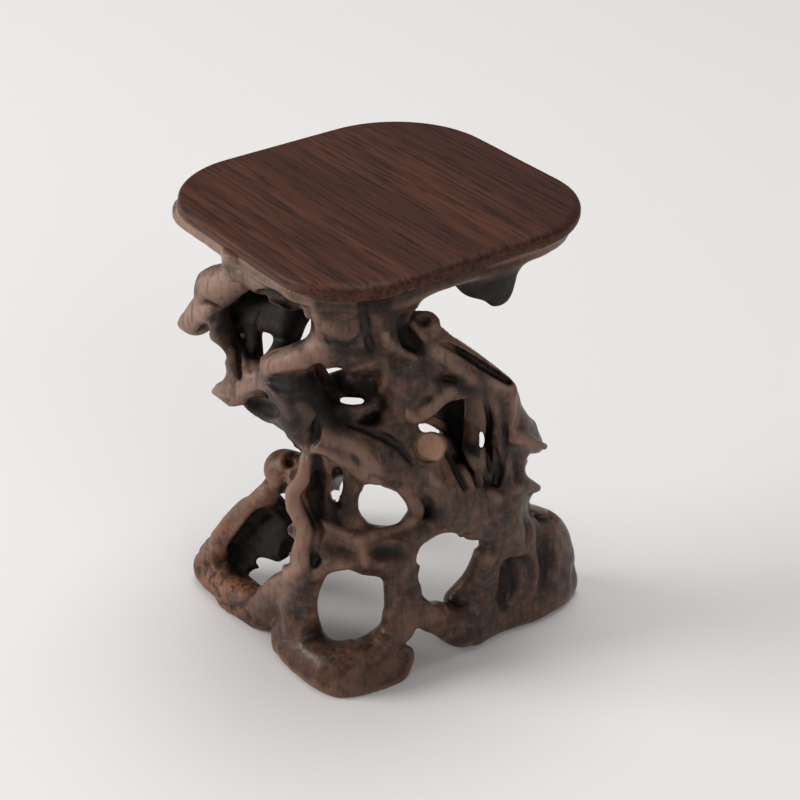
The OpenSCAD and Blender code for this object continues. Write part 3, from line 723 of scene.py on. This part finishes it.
def seen_depth(block, wood, pixels, stage):
    """The camera's rays through pixels, and how far along them the wood begins, in millimetres.

    Where a ray misses the wood, the depth is read across from the rays beside it, and where all of
    them miss it, it is not a number.
    """
    right, up, back, place = view_axes(stage)
    focal = stage.focal / SENSOR * PICTURE
    pixels = np.asarray(pixels, float)
    rays = (
        right * ((pixels[:, :1] - PICTURE / 2) / focal)
        + up * ((PICTURE / 2 - pixels[:, 1:2]) / focal) - back)
    rays /= np.linalg.norm(rays, axis=1)[:, None]
    start = place / MM
    low = block.first * block.step
    high = low + (np.array(block.shape) - 1) * block.step
    reach = np.linalg.norm(high - low) / 2
    depth = np.full(len(pixels), np.linalg.norm(start - (low + high) / 2) - reach)
    far = depth + 2 * reach
    value = np.full(len(pixels), block.band)
    while np.any((value > 0) & (depth < far)):
        at = start + rays * depth[:, None]
        inside = np.all((at > low) & (at < high), axis=1)
        value = np.where(inside, block.sample(wood, at), block.band)
        depth += np.where(value > 0, np.maximum(value * RAY_SHARE, block.step * RAY_LEAST), 0)
    hit = value <= 0
    if not hit.any():
        return start, rays, np.full(len(pixels), np.nan)
    number = np.arange(len(pixels))
    return start, rays, np.interp(number, number[hit], depth[hit])


# How far from a line its distances are kept
LINE_BAND = 2.5


def rod_field(block, starts, ends, start_radii, end_radii):
    """Window round a row of tapered rods, and the distance there to the nearest of them."""
    both = np.concatenate([starts, ends])
    reach = max(np.max(start_radii), np.max(end_radii)) + LINE_BAND
    window = block.window(both.min(axis=0) - reach, both.max(axis=0) + reach)
    field = np.full([w.stop - w.start for w in window], block.band, np.float32)
    for a, b, r, q in zip(starts, ends, start_radii, end_radii):
        part = block.window(np.minimum(a, b) - reach, np.maximum(a, b) + reach)
        x, y, z = [axis - o for axis, o in zip(block.axes(part), a)]
        run = b - a
        long = float(run @ run) or 1.0
        t = np.clip((x * run[0] + y * run[1] + z * run[2]) / long, 0, 1)
        away = np.sqrt((x - t * run[0]) ** 2 + (y - t * run[1]) ** 2 + (z - t * run[2]) ** 2)
        inner = tuple(slice(p.start - w.start, p.stop - w.start) for p, w in zip(part, window))
        field[inner] = np.minimum(field[inner], away - r - t * (q - r))
    return window, field


def tube_field(block, path, radii):
    """Window round a path, and the distance there to a round tube along it."""
    if len(path) == 1:
        return rod_field(block, path, path, radii, radii)
    return rod_field(block, path[:-1], path[1:], radii[:-1], radii[1:])


# Steps from one point of a course to the next
LINE_STEPS = 5
# Shares of the radius that are left at a line's ends and at a spur's tip
LINE_END = 0.35
SPUR_END = 0.4
# How deep a spur's root lies, and how far in front of the wood a cut begins
SPUR_ROOT = 1.0
CUT_LEAD = 4.0
# Reach of the blends with the wood, and the share of its radius that a stroke of the stains, painted shade
# and painted highlights fades over
RIDGE_BLEND = 1.6
GROOVE_BLEND = 1.2
CUT_BLEND = 0.8
STAIN_AND_LIGHT_SOFT = 0.8


def seen_course(block, wood, stage, pixels):
    """Camera's place, rays and depths along the smooth course through the photograph's pixels."""
    return seen_depth(block, wood, spline(pixels, LINE_STEPS), stage)


def carve_line(block, wood, stage, kind, radius, sink, *pixels):
    """Leaves or cuts one line that is seen on the wood."""
    start, rays, depth = seen_course(block, wood, stage, pixels)
    if np.isnan(depth).any():
        return
    along = np.linspace(0, 1, len(rays))
    radii = np.full(len(rays), radius)
    if kind == "bridge":
        depth = np.interp(along, [0, 1], depth[[0, -1]])
    elif kind == "spur":
        depth = depth[0] + SPUR_ROOT * (1 - along) - sink * (1 - along)
        radii = radius * (1 - (1 - SPUR_END) * along)
    elif len(rays) > 1:
        radii = radius * (LINE_END + (1 - LINE_END) * np.sqrt(np.sin(np.pi * along).clip(0)))
    if kind == "cut":
        front = start + rays * (depth - CUT_LEAD)[:, None]
        back = start + rays * (depth + sink)[:, None]
        window, rods = rod_field(block, front, back, radii, radii)
        wood[window] = smooth_max(wood[window], -rods, CUT_BLEND)
        return
    window, tube = tube_field(block, start + rays * (depth + sink)[:, None], radii)
    if kind == "groove":
        wood[window] = smooth_max(wood[window], -tube, GROOVE_BLEND)
    else:
        wood[window] = smooth_min(wood[window], tube, RIDGE_BLEND)


def stains_and_painted_light(block, wood, stage):
    """Field of darker and paler wood, painted shade and painted highlights along the strokes, from about -1
    to 1.
    """
    stain_and_light = np.zeros(block.shape, np.float32)
    for amount, radius, *pixels in STAINS_AND_LIGHT:
        start, rays, depth = seen_course(block, wood, stage, pixels)
        if np.isnan(depth).any():
            continue
        window, tube = tube_field(block, start + rays * depth[:, None], np.full(len(rays), radius))
        stain_and_light[window] += amount * np.clip(-tube / (STAIN_AND_LIGHT_SOFT * radius), 0, 1)
    return stain_and_light


# Materials

# Shine and roughness that are the same all over a surface
LIMB_SHINE = 0.26
BOARD_SHINE = 0.16
PAPER_SHINE = 0.1
PIN_ROUGHNESS = 0.6
PAPER_ROUGHNESS = 0.9
# How much smoother and rougher than the polish the waxed limbs and the board get
LIMB_WAX = (-0.06, 0.08)
BOARD_WAX = (0.06, 0.24)
# Heights of the grain and of the russet foot's pits, beside the flecks
GRAIN_HEIGHT = -0.8
PIT_HEIGHT = -4.0
# Places of the factor, the two colours and the result among a colour mix's sockets
MIX_INPUTS = (0, 6, 7)
MIX_RESULT = 2


def new_material(name):
    """A node material, its tree, and the inputs of its shader."""
    mat = bpy.data.materials.new(name)
    mat.use_nodes = True
    tree = mat.node_tree
    tree.nodes.clear()
    out = tree.nodes.new("ShaderNodeOutputMaterial")
    shader = tree.nodes.new("ShaderNodeBsdfPrincipled")
    tree.links.new(shader.outputs["BSDF"], out.inputs["Surface"])
    return mat, tree, shader.inputs


def put(tree, socket, value):
    """Links a socket to an input, or sets the input to a value."""
    if isinstance(value, bpy.types.NodeSocket):
        tree.links.new(value, socket)
    else:
        socket.default_value = value


def add(tree, kind, **values):
    """A node with its settings; a name in the node's inputs sets that input, or links a socket to it."""
    node = tree.nodes.new(kind)
    for key, value in values.items():
        if key in node.inputs.keys():
            put(tree, node.inputs[key], value)
        else:
            setattr(node, key, value)
    return node


def colour(rgb):
    """A colour as a shader's socket takes it."""
    return (*rgb, 1.0)


def mix(tree, factor, a, b):
    """Colour a turned towards colour b by the factor."""
    node = add(tree, "ShaderNodeMix", data_type="RGBA")
    for number, value in zip(MIX_INPUTS, (factor, a, b)):
        put(tree, node.inputs[number], value)
    return node.outputs[MIX_RESULT]


def fit(tree, value, low, high, to_low=0.0, to_high=1.0):
    """A value's range stretched to another, and held there."""
    node = add(tree, "ShaderNodeMapRange", clamp=True)
    for socket, v in zip(node.inputs[:5], (value, low, high, to_low, to_high)):
        put(tree, socket, v)
    return node.outputs[0]


def layered(tree, base, layers):
    """A colour with layers on it: what drives each, the range it grows over, its cover and its colour."""
    for driver, low, high, cover, rgb in layers:
        base = mix(tree, fit(tree, driver, low, high, 0, cover), base, colour(rgb))
    return base


def math_of(tree, kind, a, b):
    """Result of a sum on two values."""
    node = add(tree, "ShaderNodeMath", operation=kind)
    put(tree, node.inputs[0], a)
    put(tree, node.inputs[1], b)
    return node.outputs[0]


def times(tree, a, b):
    """One value times another."""
    return math_of(tree, "MULTIPLY", a, b)


def total(tree, first, *others):
    """All the values added up."""
    for value in others:
        first = math_of(tree, "ADD", first, value)
    return first


def spots(tree, scale, detail=3.0, rough=0.55, stretch=(1, 1, 1), warp=0.0):
    """Noise on the piece's own coordinates; the scale is in lumps a metre."""
    place = add(tree, "ShaderNodeTexCoord").outputs["Object"]
    turned = add(tree, "ShaderNodeMapping", Vector=place, Scale=stretch).outputs[0]
    noise = add(
        tree, "ShaderNodeTexNoise", Vector=turned, Scale=scale, Detail=detail, Roughness=rough,
        Distortion=warp)
    return noise.outputs["Fac"]


def bump_of(tree, height, strength, reach):
    """Surface roughened by a height, by as much as the reach in metres."""
    node = add(tree, "ShaderNodeBump", Height=height, Strength=strength, Distance=reach)
    return node.outputs[0]


def value_of(tree, name):
    """A number stored on the mesh."""
    return add(tree, "ShaderNodeAttribute", attribute_name=name).outputs["Fac"]


def limb_wood(wood):
    """Waxed dark hardwood with painted shade in the hollows and creases, tan wear and painted highlights on
    the ridges, rougher where pale.
    """
    mat, tree, sockets = new_material("waxed_limb_wood")
    names = ("tone_and_shade", "stain_and_light", "russet", "ridge", "painted_hollow_shade", "sawn")
    tone_and_shade, stain_and_light, russet, ridge, painted_hollow_shade, sawn = [value_of(tree, name) for name in names]
    cloud = spots(tree, 70, detail=4, rough=0.6)
    mottle = spots(tree, 260, detail=4, rough=0.6)
    fleck = spots(tree, 620)
    grain = spots(tree, 700, stretch=(1, 1, 0.1), warp=0.4)
    patches = times(tree, russet, fit(tree, mottle, 0.48, 0.58, 0, 0.9))
    # Lighter wear on the convex ridges, which also paints their highlights
    rubbed_and_highlit = times(tree, fit(tree, ridge, 0.4, 1.4, 0, 0.85), fit(tree, cloud, 0.7, 0.3, 0.3, 1.0))
    # Darkening from the dark limbs and the dark strokes: mostly painted shade in the hollows, slits and
    # recesses, partly darker wood
    dark = total(tree, fit(tree, tone_and_shade, 0, -1), fit(tree, stain_and_light, 0, -1))
    base = layered(tree, colour(wood.heart), (
        # Paler limbs; on the knob arm and cross limb this is partly painted light from the left
        (tone_and_shade, 0, 1, 1, wood.pale),
        (russet, 0, 1, 1, wood.russet),
        (cloud, 0.42, 0.62, 0.55, wood.shade),
        (mottle, 0.5, 0.68, 0.45, wood.russet),
        (mottle, 0.46, 0.34, 0.55, wood.shade),
        # Pale strokes, many of them painted highlights on lit ridges and rims
        (stain_and_light, 0, 1, 0.65, wood.pale),
        (fleck, 0.54, 0.74, 0.35, wood.worn_and_highlight),
        (grain, 0.52, 0.7, 0.6, wood.shade),
        # Wear and painted highlights on the ridges
        (patches, 0, 1, 1, wood.shade),
        (rubbed_and_highlit, 0, 1, 1, wood.worn_and_highlight),
        # Mostly painted shade, from the dark limbs and dark strokes
        (dark, 0, 1, 0.92, wood.shade),
        # Painted shade in the creases, from the concave side of the ridge field
        (ridge, -0.12, -0.8, 0.9, wood.shade),
        # Painted shade in the hollows, from the share of wood round each point
        (painted_hollow_shade, 0.44, 0.66, 0.92, wood.shade),
    ))
    end = layered(tree, colour(wood.end_grain), ((mottle, 0.42, 0.75, 1, wood.pale),))
    put(tree, sockets["Base Color"], mix(tree, sawn, base, end))
    sockets["Specular IOR Level"].default_value = LIMB_SHINE
    wax = fit(tree, fleck, 0.3, 0.7, *[wood.polish + change for change in LIMB_WAX])
    bare = (fit(tree, tone_and_shade, 0.2, 1.0, 0, 0.2), times(tree, russet, 0.2), fit(tree, dark, 0, 1, 0, 0.3))
    put(tree, sockets["Roughness"], total(tree, *bare, wax))
    pits = times(tree, russet, times(tree, mottle, PIT_HEIGHT))
    height = total(tree, fleck, times(tree, grain, GRAIN_HEIGHT), pits)
    put(tree, sockets["Normal"], bump_of(tree, height, strength=0.3, reach=0.4 * MM))
    return mat


def board_wood(wood):
    """Polished board with straight grain along X: streaks, dark pore lines and a satin wax."""
    mat, tree, sockets = new_material("polished_board_wood")
    band = spots(tree, 55, stretch=(0.09, 1, 1), warp=0.3)
    streak = spots(tree, 300, detail=4, rough=0.65, stretch=(0.06, 1, 1), warp=0.2)
    pore = spots(tree, 900, detail=2, stretch=(0.05, 1, 1))
    base = mix(tree, fit(tree, band, 0.3, 0.7, 0.2, 0.9), colour(wood.board), colour(wood.streak))
    base = layered(tree, base, (
        (streak, 0.42, 0.62, 0.75, wood.board),
        (pore, 0.5, 0.66, 0.8, wood.pore),
    ))
    put(tree, sockets["Base Color"], base)
    sockets["Specular IOR Level"].default_value = BOARD_SHINE
    wax = fit(tree, pore, 0.3, 0.75, *[wood.polish + change for change in BOARD_WAX])
    put(tree, sockets["Roughness"], wax)
    height = math_of(tree, "SUBTRACT", streak, pore)
    put(tree, sockets["Normal"], bump_of(tree, height, strength=0.12, reach=0.25 * MM))
    return mat


def dowel_wood(wood):
    """Pale straight-grained pin wood."""
    mat, tree, sockets = new_material("pin_wood")
    grain = spots(tree, 900, stretch=(1, 1, 0.2))
    base = layered(tree, colour(wood.dowel), ((grain, 0.3, 0.7, 1, wood.pale),))
    put(tree, sockets["Base Color"], base)
    sockets["Roughness"].default_value = PIN_ROUGHNESS
    put(tree, sockets["Normal"], bump_of(tree, grain, strength=0.15, reach=0.2 * MM))
    return mat


def floor_paper(rgb):
    """Plain pale paper floor."""
    mat, tree, sockets = new_material("pale_paper")
    sockets["Base Color"].default_value = colour(rgb)
    sockets["Roughness"].default_value = PAPER_ROUGHNESS
    sockets["Specular IOR Level"].default_value = PAPER_SHINE
    tooth = spots(tree, 500, detail=2)
    put(tree, sockets["Normal"], bump_of(tree, tooth, strength=0.02, reach=0.2 * MM))
    return mat


# Operators

# How far from the wood distances are kept, the play of a dowel in its bore, and the wood round it
BAND = 5.0
FIT = 0.15
PIN_COVER = 1.2
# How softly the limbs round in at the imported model's sides
SIDE_ROUND = 5.0
# Spreads of the fields that the wood's material reads, which are kept at every second point
RIDGE_SPREAD = 1.6
RIDGE_SCALE = 0.35
HOLLOW_SHADE_SPREAD = 5.0
TONE_AND_SHADE_SPREAD = 2.5
STRIDE = 2
COARSE = (slice(None, None, STRIDE),) * 3
SHARP = math.radians(55)


class STAND_OT_carved_limbs(bpy.types.Operator):
    """Blends and carves the apron and limbs, and splits them into their pieces"""

    bl_idname = "stand.carved_limbs"
    bl_label = "Carved limbs"

    def execute(self, context):
        carving, _, wood_look, stage = settings(context)
        low, high = np.array(CAD_BOX[0]) / MM, np.array(CAD_BOX[1]) / MM
        block = Block(low, high, carving.step / MM, BAND)
        fields = {name: node_field(block, name) for name in CARVED}
        wood = blended(block, fields, node_field(block, BOARD), carving.fillet / MM)
        first, second, who = owners(block, fields)
        wood = swollen(block, wood, who, carving)
        for line in LINES:
            carve_line(block, wood, stage, *line)
        sawn = sawn_stub(block, wood, stage)
        pins = [node_field(block, name) for name in DOWELS]
        for window, field in pins:
            wood[window] = smooth_min(wood[window], field - PIN_COVER, RIDGE_BLEND)
        self.keep_inside(block, wood, low, high)
        for window, field in pins:
            np.maximum(wood[window], FIT - field, out=wood[window])
        looks = self.surface_looks(block, wood, stains_and_painted_light(block, wood, stage), sawn, who)
        limb_mat = limb_wood(wood_look)
        for k, (name, (window, field)) in enumerate(fields.items()):
            part = limb_field(k, window, field, wood, first, second, who)
            points, quads = large_islands(*quads_of(block, window, part))
            obj = new_object(name + "_carved", points * MM, quads)
            obj.data.set_sharp_from_angle(angle=SHARP)
            for look, values in looks.items():
                set_values(obj, look, block.sample(values, points, STRIDE))
            obj.data.materials.append(limb_mat)
            place_piece(obj, name)
        return {"FINISHED"}

    @staticmethod
    def keep_inside(block, wood, low, high):
        """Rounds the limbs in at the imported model's sides, and cuts all to its box and under the board."""
        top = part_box(BOARD)[0][2] / MM
        limbs = block.window(low - BAND, (*(high[:2] + BAND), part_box(APRON)[0][2] / MM))
        x, y, _ = block.axes(limbs)
        for past in (low[0] - x, x - high[0], low[1] - y, y - high[1]):
            wood[limbs] = smooth_max(wood[limbs], past, SIDE_ROUND)
        x, y, z = block.axes(block.whole())
        for a, lo, hi in ((x, low[0], high[0]), (y, low[1], high[1]), (z, low[2], top)):
            np.maximum(wood, lo - a, out=wood, casting="same_kind")
            np.maximum(wood, a - hi, out=wood, casting="same_kind")

    @staticmethod
    def surface_looks(block, wood, stain_and_light, sawn, who):
        """Coarse fields that the wood's material reads: ridges, painted shade in the hollows, strokes of
        darker and paler wood with painted shade and highlights, and each limb's lightness.
        """
        ridge = (blur(wood, RIDGE_SPREAD / block.step) - wood) / RIDGE_SCALE
        looks = {"ridge": ridge[COARSE], "stain_and_light": stain_and_light[COARSE], "sawn": sawn[COARSE]}
        step = block.step * STRIDE
        # Share of wood round each point, for the painted shade in the hollows
        looks["painted_hollow_shade"] = blur((wood[COARSE] < 0).astype(np.float32), HOLLOW_SHADE_SPREAD / step)
        for look, plain, table in (("tone_and_shade", PLAIN_TONE, TONE_AND_SHADE), ("russet", 0.0, RUSSET)):
            values = np.array([table.get(n, plain) for n in CARVED], np.float32)
            looks[look] = blur(values[who[COARSE]], TONE_AND_SHADE_SPREAD / step)
        return looks


# Steps of the board's rolled edge, of a corner and of a side
EDGE_STEPS = 8
CORNER_STEPS = 24
SIDE_STEPS = 30
# Waves of the hand-cut edge: share of the height, number round the board, and start
EDGE_WAVES = ((0.4, 3, 0.7), (0.35, 5, 2.1), (0.25, 11, 4))
# The side where the board runs softly into the apron, and how much more the edge rolls in there above
# and less below
FRONT_WAY = (0.94, -0.34)
UPPER_EASE = 1.2
LOWER_EASE = -0.85


class STAND_OT_board(bpy.types.Operator):
    """Makes the top board with its rolled edge"""

    bl_idname = "stand.board"
    bl_label = "Top board"

    def execute(self, context):
        _, board, wood_look, _ = settings(context)
        low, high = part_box(BOARD)
        turns = [math.pi / 2 * k / EDGE_STEPS for k in range(EDGE_STEPS + 1)]
        rolled = [(board.edge * (1 - math.sin(a)), board.edge * (1 - math.cos(a))) for a in turns]
        rings = [(inset, low[2] + rise, LOWER_EASE) for inset, rise in rolled]
        rings += [(inset, high[2] - drop, UPPER_EASE) for drop, inset in rolled]
        obj = self.lofted([self.outline(board, low, high, *ring) for ring in rings])
        obj.data.materials.append(board_wood(wood_look))
        place_piece(obj, BOARD)
        return {"FINISHED"}

    @staticmethod
    def outline(board, low, high, inset, z, ease):
        """One level of the edge, which wanders a little as a hand-cut edge does.

        It is drawn in by the inset, and at the front by more or less of it, as `ease` says.
        """
        x = (high[0] - low[0]) / 2 - inset
        y = (high[1] - low[1]) / 2 - inset
        mid = np.array([(high[0] + low[0]) / 2, (high[1] + low[1]) / 2])
        radii = (board.corner_right, board.corner_back, board.corner_left, board.corner_front)
        signs = ((1, 1), (-1, 1), (-1, -1), (1, -1))
        corners = []
        for q, (radius, (sx, sy)) in enumerate(zip(radii, signs)):
            r = radius - inset
            a = math.pi / 2 * (q + np.linspace(0, 1, CORNER_STEPS))
            way = np.stack([np.cos(a), np.sin(a)], axis=1)
            corners.append(np.concatenate([(sx * (x - r), sy * (y - r)) + r * way, way], axis=1))
        parts = []
        for here, after in zip(corners, corners[1:] + corners[:1]):
            t = np.linspace(0, 1, SIDE_STEPS + 2)[1:-1, None]
            parts += [here, here[-1] * (1 - t) + after[0] * t]
        flat, way = np.split(np.concatenate(parts), 2, axis=1)
        turn = np.arctan2(flat[:, 1], flat[:, 0])
        waves = sum(part * np.sin(count * turn + start) for part, count, start in EDGE_WAVES)
        front = np.clip(way @ FRONT_WAY, 0, 1)
        inwards = board.wave * (0.5 + 0.5 * waves) + inset * ease * front
        flat = flat - way * inwards[:, None]
        return np.concatenate([flat + mid, np.full((len(flat), 1), z)], axis=1)

    @staticmethod
    def lofted(loops):
        """Closed mesh through the loops, with a flat face below and above."""
        n = len(loops[0])
        points = np.concatenate(loops)
        i, j = np.meshgrid(np.arange(len(loops) - 1), np.arange(n), indexing="ij")
        after = (j + 1) % n
        quads = np.stack([i * n + j, i * n + after, (i + 1) * n + after, (i + 1) * n + j], axis=-1)
        obj = new_object("top_board_carved", points, quads.reshape(-1, 4))
        caps = [list(range(n))[::-1], list(range(len(points) - n, len(points)))]
        bm = bmesh.new()
        bm.from_mesh(obj.data)
        bm.verts.ensure_lookup_table()
        for cap in caps:
            bm.faces.new([bm.verts[v] for v in cap])
        bm.to_mesh(obj.data)
        bm.free()
        obj.data.set_sharp_from_angle(angle=SHARP)
        return obj


# Flutes of a dowel, their depth as a share of its radius, and its sides
FLUTES = 8
FLUTE_SHARE = 0.06
DOWEL_SIDES = 32
# Corners of a packed pin that are the same to these digits of a millimetre are one
MERGE_DIGITS = 3
# Inputs and outputs of the node tree that makes the dowels
PIN_SOCKETS = (
    ("Geometry", "INPUT", "NodeSocketGeometry"), ("Radius", "INPUT", "NodeSocketFloat"),
    ("Length", "INPUT", "NodeSocketFloat"), ("Geometry", "OUTPUT", "NodeSocketGeometry"),
)


class STAND_OT_dowels(bpy.types.Operator):
    """Makes the fluted dowels inside the joints"""

    bl_idname = "stand.dowels"
    bl_label = "Dowels"

    def execute(self, context):
        mat = dowel_wood(settings(context)[2])
        tree = self.fluted_tree(mat)
        for name in DOWELS:
            middles, ways, sizes = self.pins(name)
            seat = new_object(name + "_pins", middles, np.zeros((0, 3), int))
            layer = seat.data.attributes.new("way", "FLOAT_VECTOR", "POINT")
            layer.data.foreach_set("vector", ways.astype(np.float32).ravel())
            modifier = seat.modifiers.new("fluted pins", "NODES")
            modifier.node_group = tree
            for item in tree.interface.items_tree:
                if item.name in sizes:
                    modifier[item.identifier] = sizes[item.name]
            shaped = bpy.data.meshes.new_from_object(
                seat.evaluated_get(context.evaluated_depsgraph_get()))
            seat.modifiers.remove(modifier)
            seat.data = shaped
            shaped.set_sharp_from_angle(angle=SHARP)
            place_piece(seat, name)
        return {"FINISHED"}

    @staticmethod
    def pins(node):
        """Middles and directions of a node's pins, and their sizes, in metres."""
        points, faces = node_mesh(node)
        corners, index = np.unique(np.round(points, MERGE_DIGITS), axis=0, return_inverse=True)
        faces = index.reshape(-1)[faces]
        label = labels_of(len(corners), faces)
        middles, ways, radii, lengths = [], [], [], []
        for name in np.unique(label[faces[:, 0]]):
            pin = corners[label == name].astype(float)
            middle = (pin.min(axis=0) + pin.max(axis=0)) / 2
            way = np.linalg.eigh(np.cov((pin - middle).T))[1][:, 2]
            along = (pin - middle) @ way
            radii.append(np.linalg.norm(pin - middle - along[:, None] * way, axis=1).max())
            lengths.append(along.max() - along.min())
            middles.append(middle)
            ways.append(way)
        sizes = {"Radius": float(np.median(radii)) * MM, "Length": float(np.median(lengths)) * MM}
        return np.array(middles) * MM, np.array(ways), sizes

    @staticmethod
    def fluted_tree(mat):
        """Node tree that stands a fluted pin on every point, along the point's direction."""
        tree = bpy.data.node_groups.new("fluted_pins", "GeometryNodeTree")
        for name, side, kind in PIN_SOCKETS:
            tree.interface.new_socket(name, in_out=side, socket_type=kind)
        given = tree.nodes.new("NodeGroupInput")
        result = tree.nodes.new("NodeGroupOutput")
        pin = add(tree, "GeometryNodeMeshCylinder", Vertices=DOWEL_SIDES, Radius=given.outputs["Radius"],
                  Depth=given.outputs["Length"])
        place = add(tree, "GeometryNodeInputPosition").outputs[0]
        split = add(tree, "ShaderNodeSeparateXYZ", Vector=place)
        turn = math_of(tree, "ARCTAN2", split.outputs[1], split.outputs[0])
        wave = math_of(tree, "COSINE", times(tree, turn, FLUTES), 0.0)
        drawn = times(tree, math_of(tree, "SUBTRACT", wave, 1.0), FLUTE_SHARE / 2)
        flat = add(tree, "ShaderNodeVectorMath", operation="MULTIPLY")
        put(tree, flat.inputs[0], place)
        flat.inputs[1].default_value = (1, 1, 0)
        move = add(tree, "ShaderNodeVectorMath", operation="SCALE")
        put(tree, move.inputs[0], flat.outputs[0])
        put(tree, move.inputs["Scale"], drawn)
        fluted = add(tree, "GeometryNodeSetPosition", Geometry=pin.outputs["Mesh"], Offset=move.outputs[0])
        way = add(tree, "GeometryNodeInputNamedAttribute", data_type="FLOAT_VECTOR", Name="way")
        aim = add(tree, "FunctionNodeAlignRotationToVector", axis="Z", Vector=way.outputs[0])
        pins = add(tree, "GeometryNodeInstanceOnPoints", Points=given.outputs["Geometry"],
                   Instance=fluted.outputs[0], Rotation=aim.outputs[0])
        real = add(tree, "GeometryNodeRealizeInstances", Geometry=pins.outputs[0])
        done = add(tree, "GeometryNodeSetMaterial", Geometry=real.outputs[0], Material=mat)
        tree.links.new(done.outputs[0], result.inputs["Geometry"])
        return tree


# Width of the floor in metres, and strength of the light from all round
FLOOR_SPAN = 6.0
WORLD_LEVEL = 0.2
# Each lamp: name, place in metres, width in metres, power in watts
LAMPS = (
    ("key_softbox", (-1.1, -1.7, 0.95), 1.1, 38.0),
    ("top_softbox", (-0.35, 0.45, 2.2), 1.3, 22.0),
    ("fill_softbox", (1.7, -0.3, 1.1), 1.1, 7.0),
)


class STAND_OT_stage(bpy.types.Operator):
    """Sets the floor, the lights and the camera"""

    bl_idname = "stand.stage"
    bl_label = "Stage"

    def execute(self, context):
        stage = settings(context)[3]
        half = FLOOR_SPAN / 2
        corners = np.array([(-half, -half, 0), (half, -half, 0), (half, half, 0), (-half, half, 0)])
        floor = new_object("floor", corners, np.array([[0, 1, 2, 3]]))
        floor.data.materials.append(floor_paper(stage.floor))
        for name, place, width, power in LAMPS:
            self.lamp(context, name, place, width, power, Vector(stage.aim))
        world = bpy.data.worlds.new("soft_room")
        world.use_nodes = True
        background = world.node_tree.nodes["Background"].inputs
        background["Color"].default_value = (1, 1, 1, 1)
        background["Strength"].default_value = WORLD_LEVEL
        context.scene.world = world
        self.camera(context, stage)
        context.scene.view_settings.view_transform = "Standard"
        return {"FINISHED"}

    @staticmethod
    def lamp(context, name, place, width, power, aim):
        """A square softbox aimed at the stand."""
        light = bpy.data.lights.new(name, "AREA")
        light.shape = "SQUARE"
        light.size = width
        light.energy = power
        obj = bpy.data.objects.new(name, light)
        obj.location = place
        obj.rotation_euler = (aim - Vector(place)).to_track_quat("-Z", "Y").to_euler()
        context.scene.collection.objects.link(obj)

    @staticmethod
    def camera(context, stage):
        """The camera at the photograph's angle."""
        _, _, back, place = view_axes(stage)
        cam = bpy.data.cameras.new("photo_view")
        cam.sensor_width = SENSOR
        cam.lens = stage.focal
        obj = bpy.data.objects.new("photo_view", cam)
        obj.location = place
        obj.rotation_euler = Vector(-back).to_track_quat("-Z", "Y").to_euler()
        context.scene.collection.objects.link(obj)
        context.scene.camera = obj


class STAND_PT_panel(bpy.types.Panel):
    """The stand's pieces and settings, in the sidebar"""

    bl_label = "Carved stand"
    bl_idname = "STAND_PT_panel"
    bl_space_type = "VIEW_3D"
    bl_region_type = "UI"
    bl_category = "Stand"

    def draw(self, context):
        """Lists the operators, then the settings."""
        for step in STEPS:
            self.layout.operator(step.bl_idname)
        for group in settings(context):
            box = self.layout.box()
            for key in group.__annotations__:
                box.prop(group, key)


STEPS = (STAND_OT_stage, STAND_OT_board, STAND_OT_carved_limbs, STAND_OT_dowels)
GROUPS = {
    "stand_carving": StandCarving, "stand_board": StandBoard, "stand_wood": StandWood,
    "stand_stage": StandStage,
}


def register():
    """Registers the classes and hangs the settings on the scene."""
    for cls in (*GROUPS.values(), *STEPS, STAND_PT_panel):
        bpy.utils.register_class(cls)
    for name, group in GROUPS.items():
        setattr(bpy.types.Scene, name, bpy.props.PointerProperty(type=group))


def unregister():
    """Takes the settings and the classes away again."""
    for name in GROUPS:
        delattr(bpy.types.Scene, name)
    for cls in reversed((*GROUPS.values(), *STEPS, STAND_PT_panel)):
        bpy.utils.unregister_class(cls)


def main():
    """Makes the stand."""
    register()
    bpy.ops.stand.stage()
    bpy.ops.stand.board()
    bpy.ops.stand.carved_limbs()
    bpy.ops.stand.dowels()


if __name__ == "__main__":
    main()
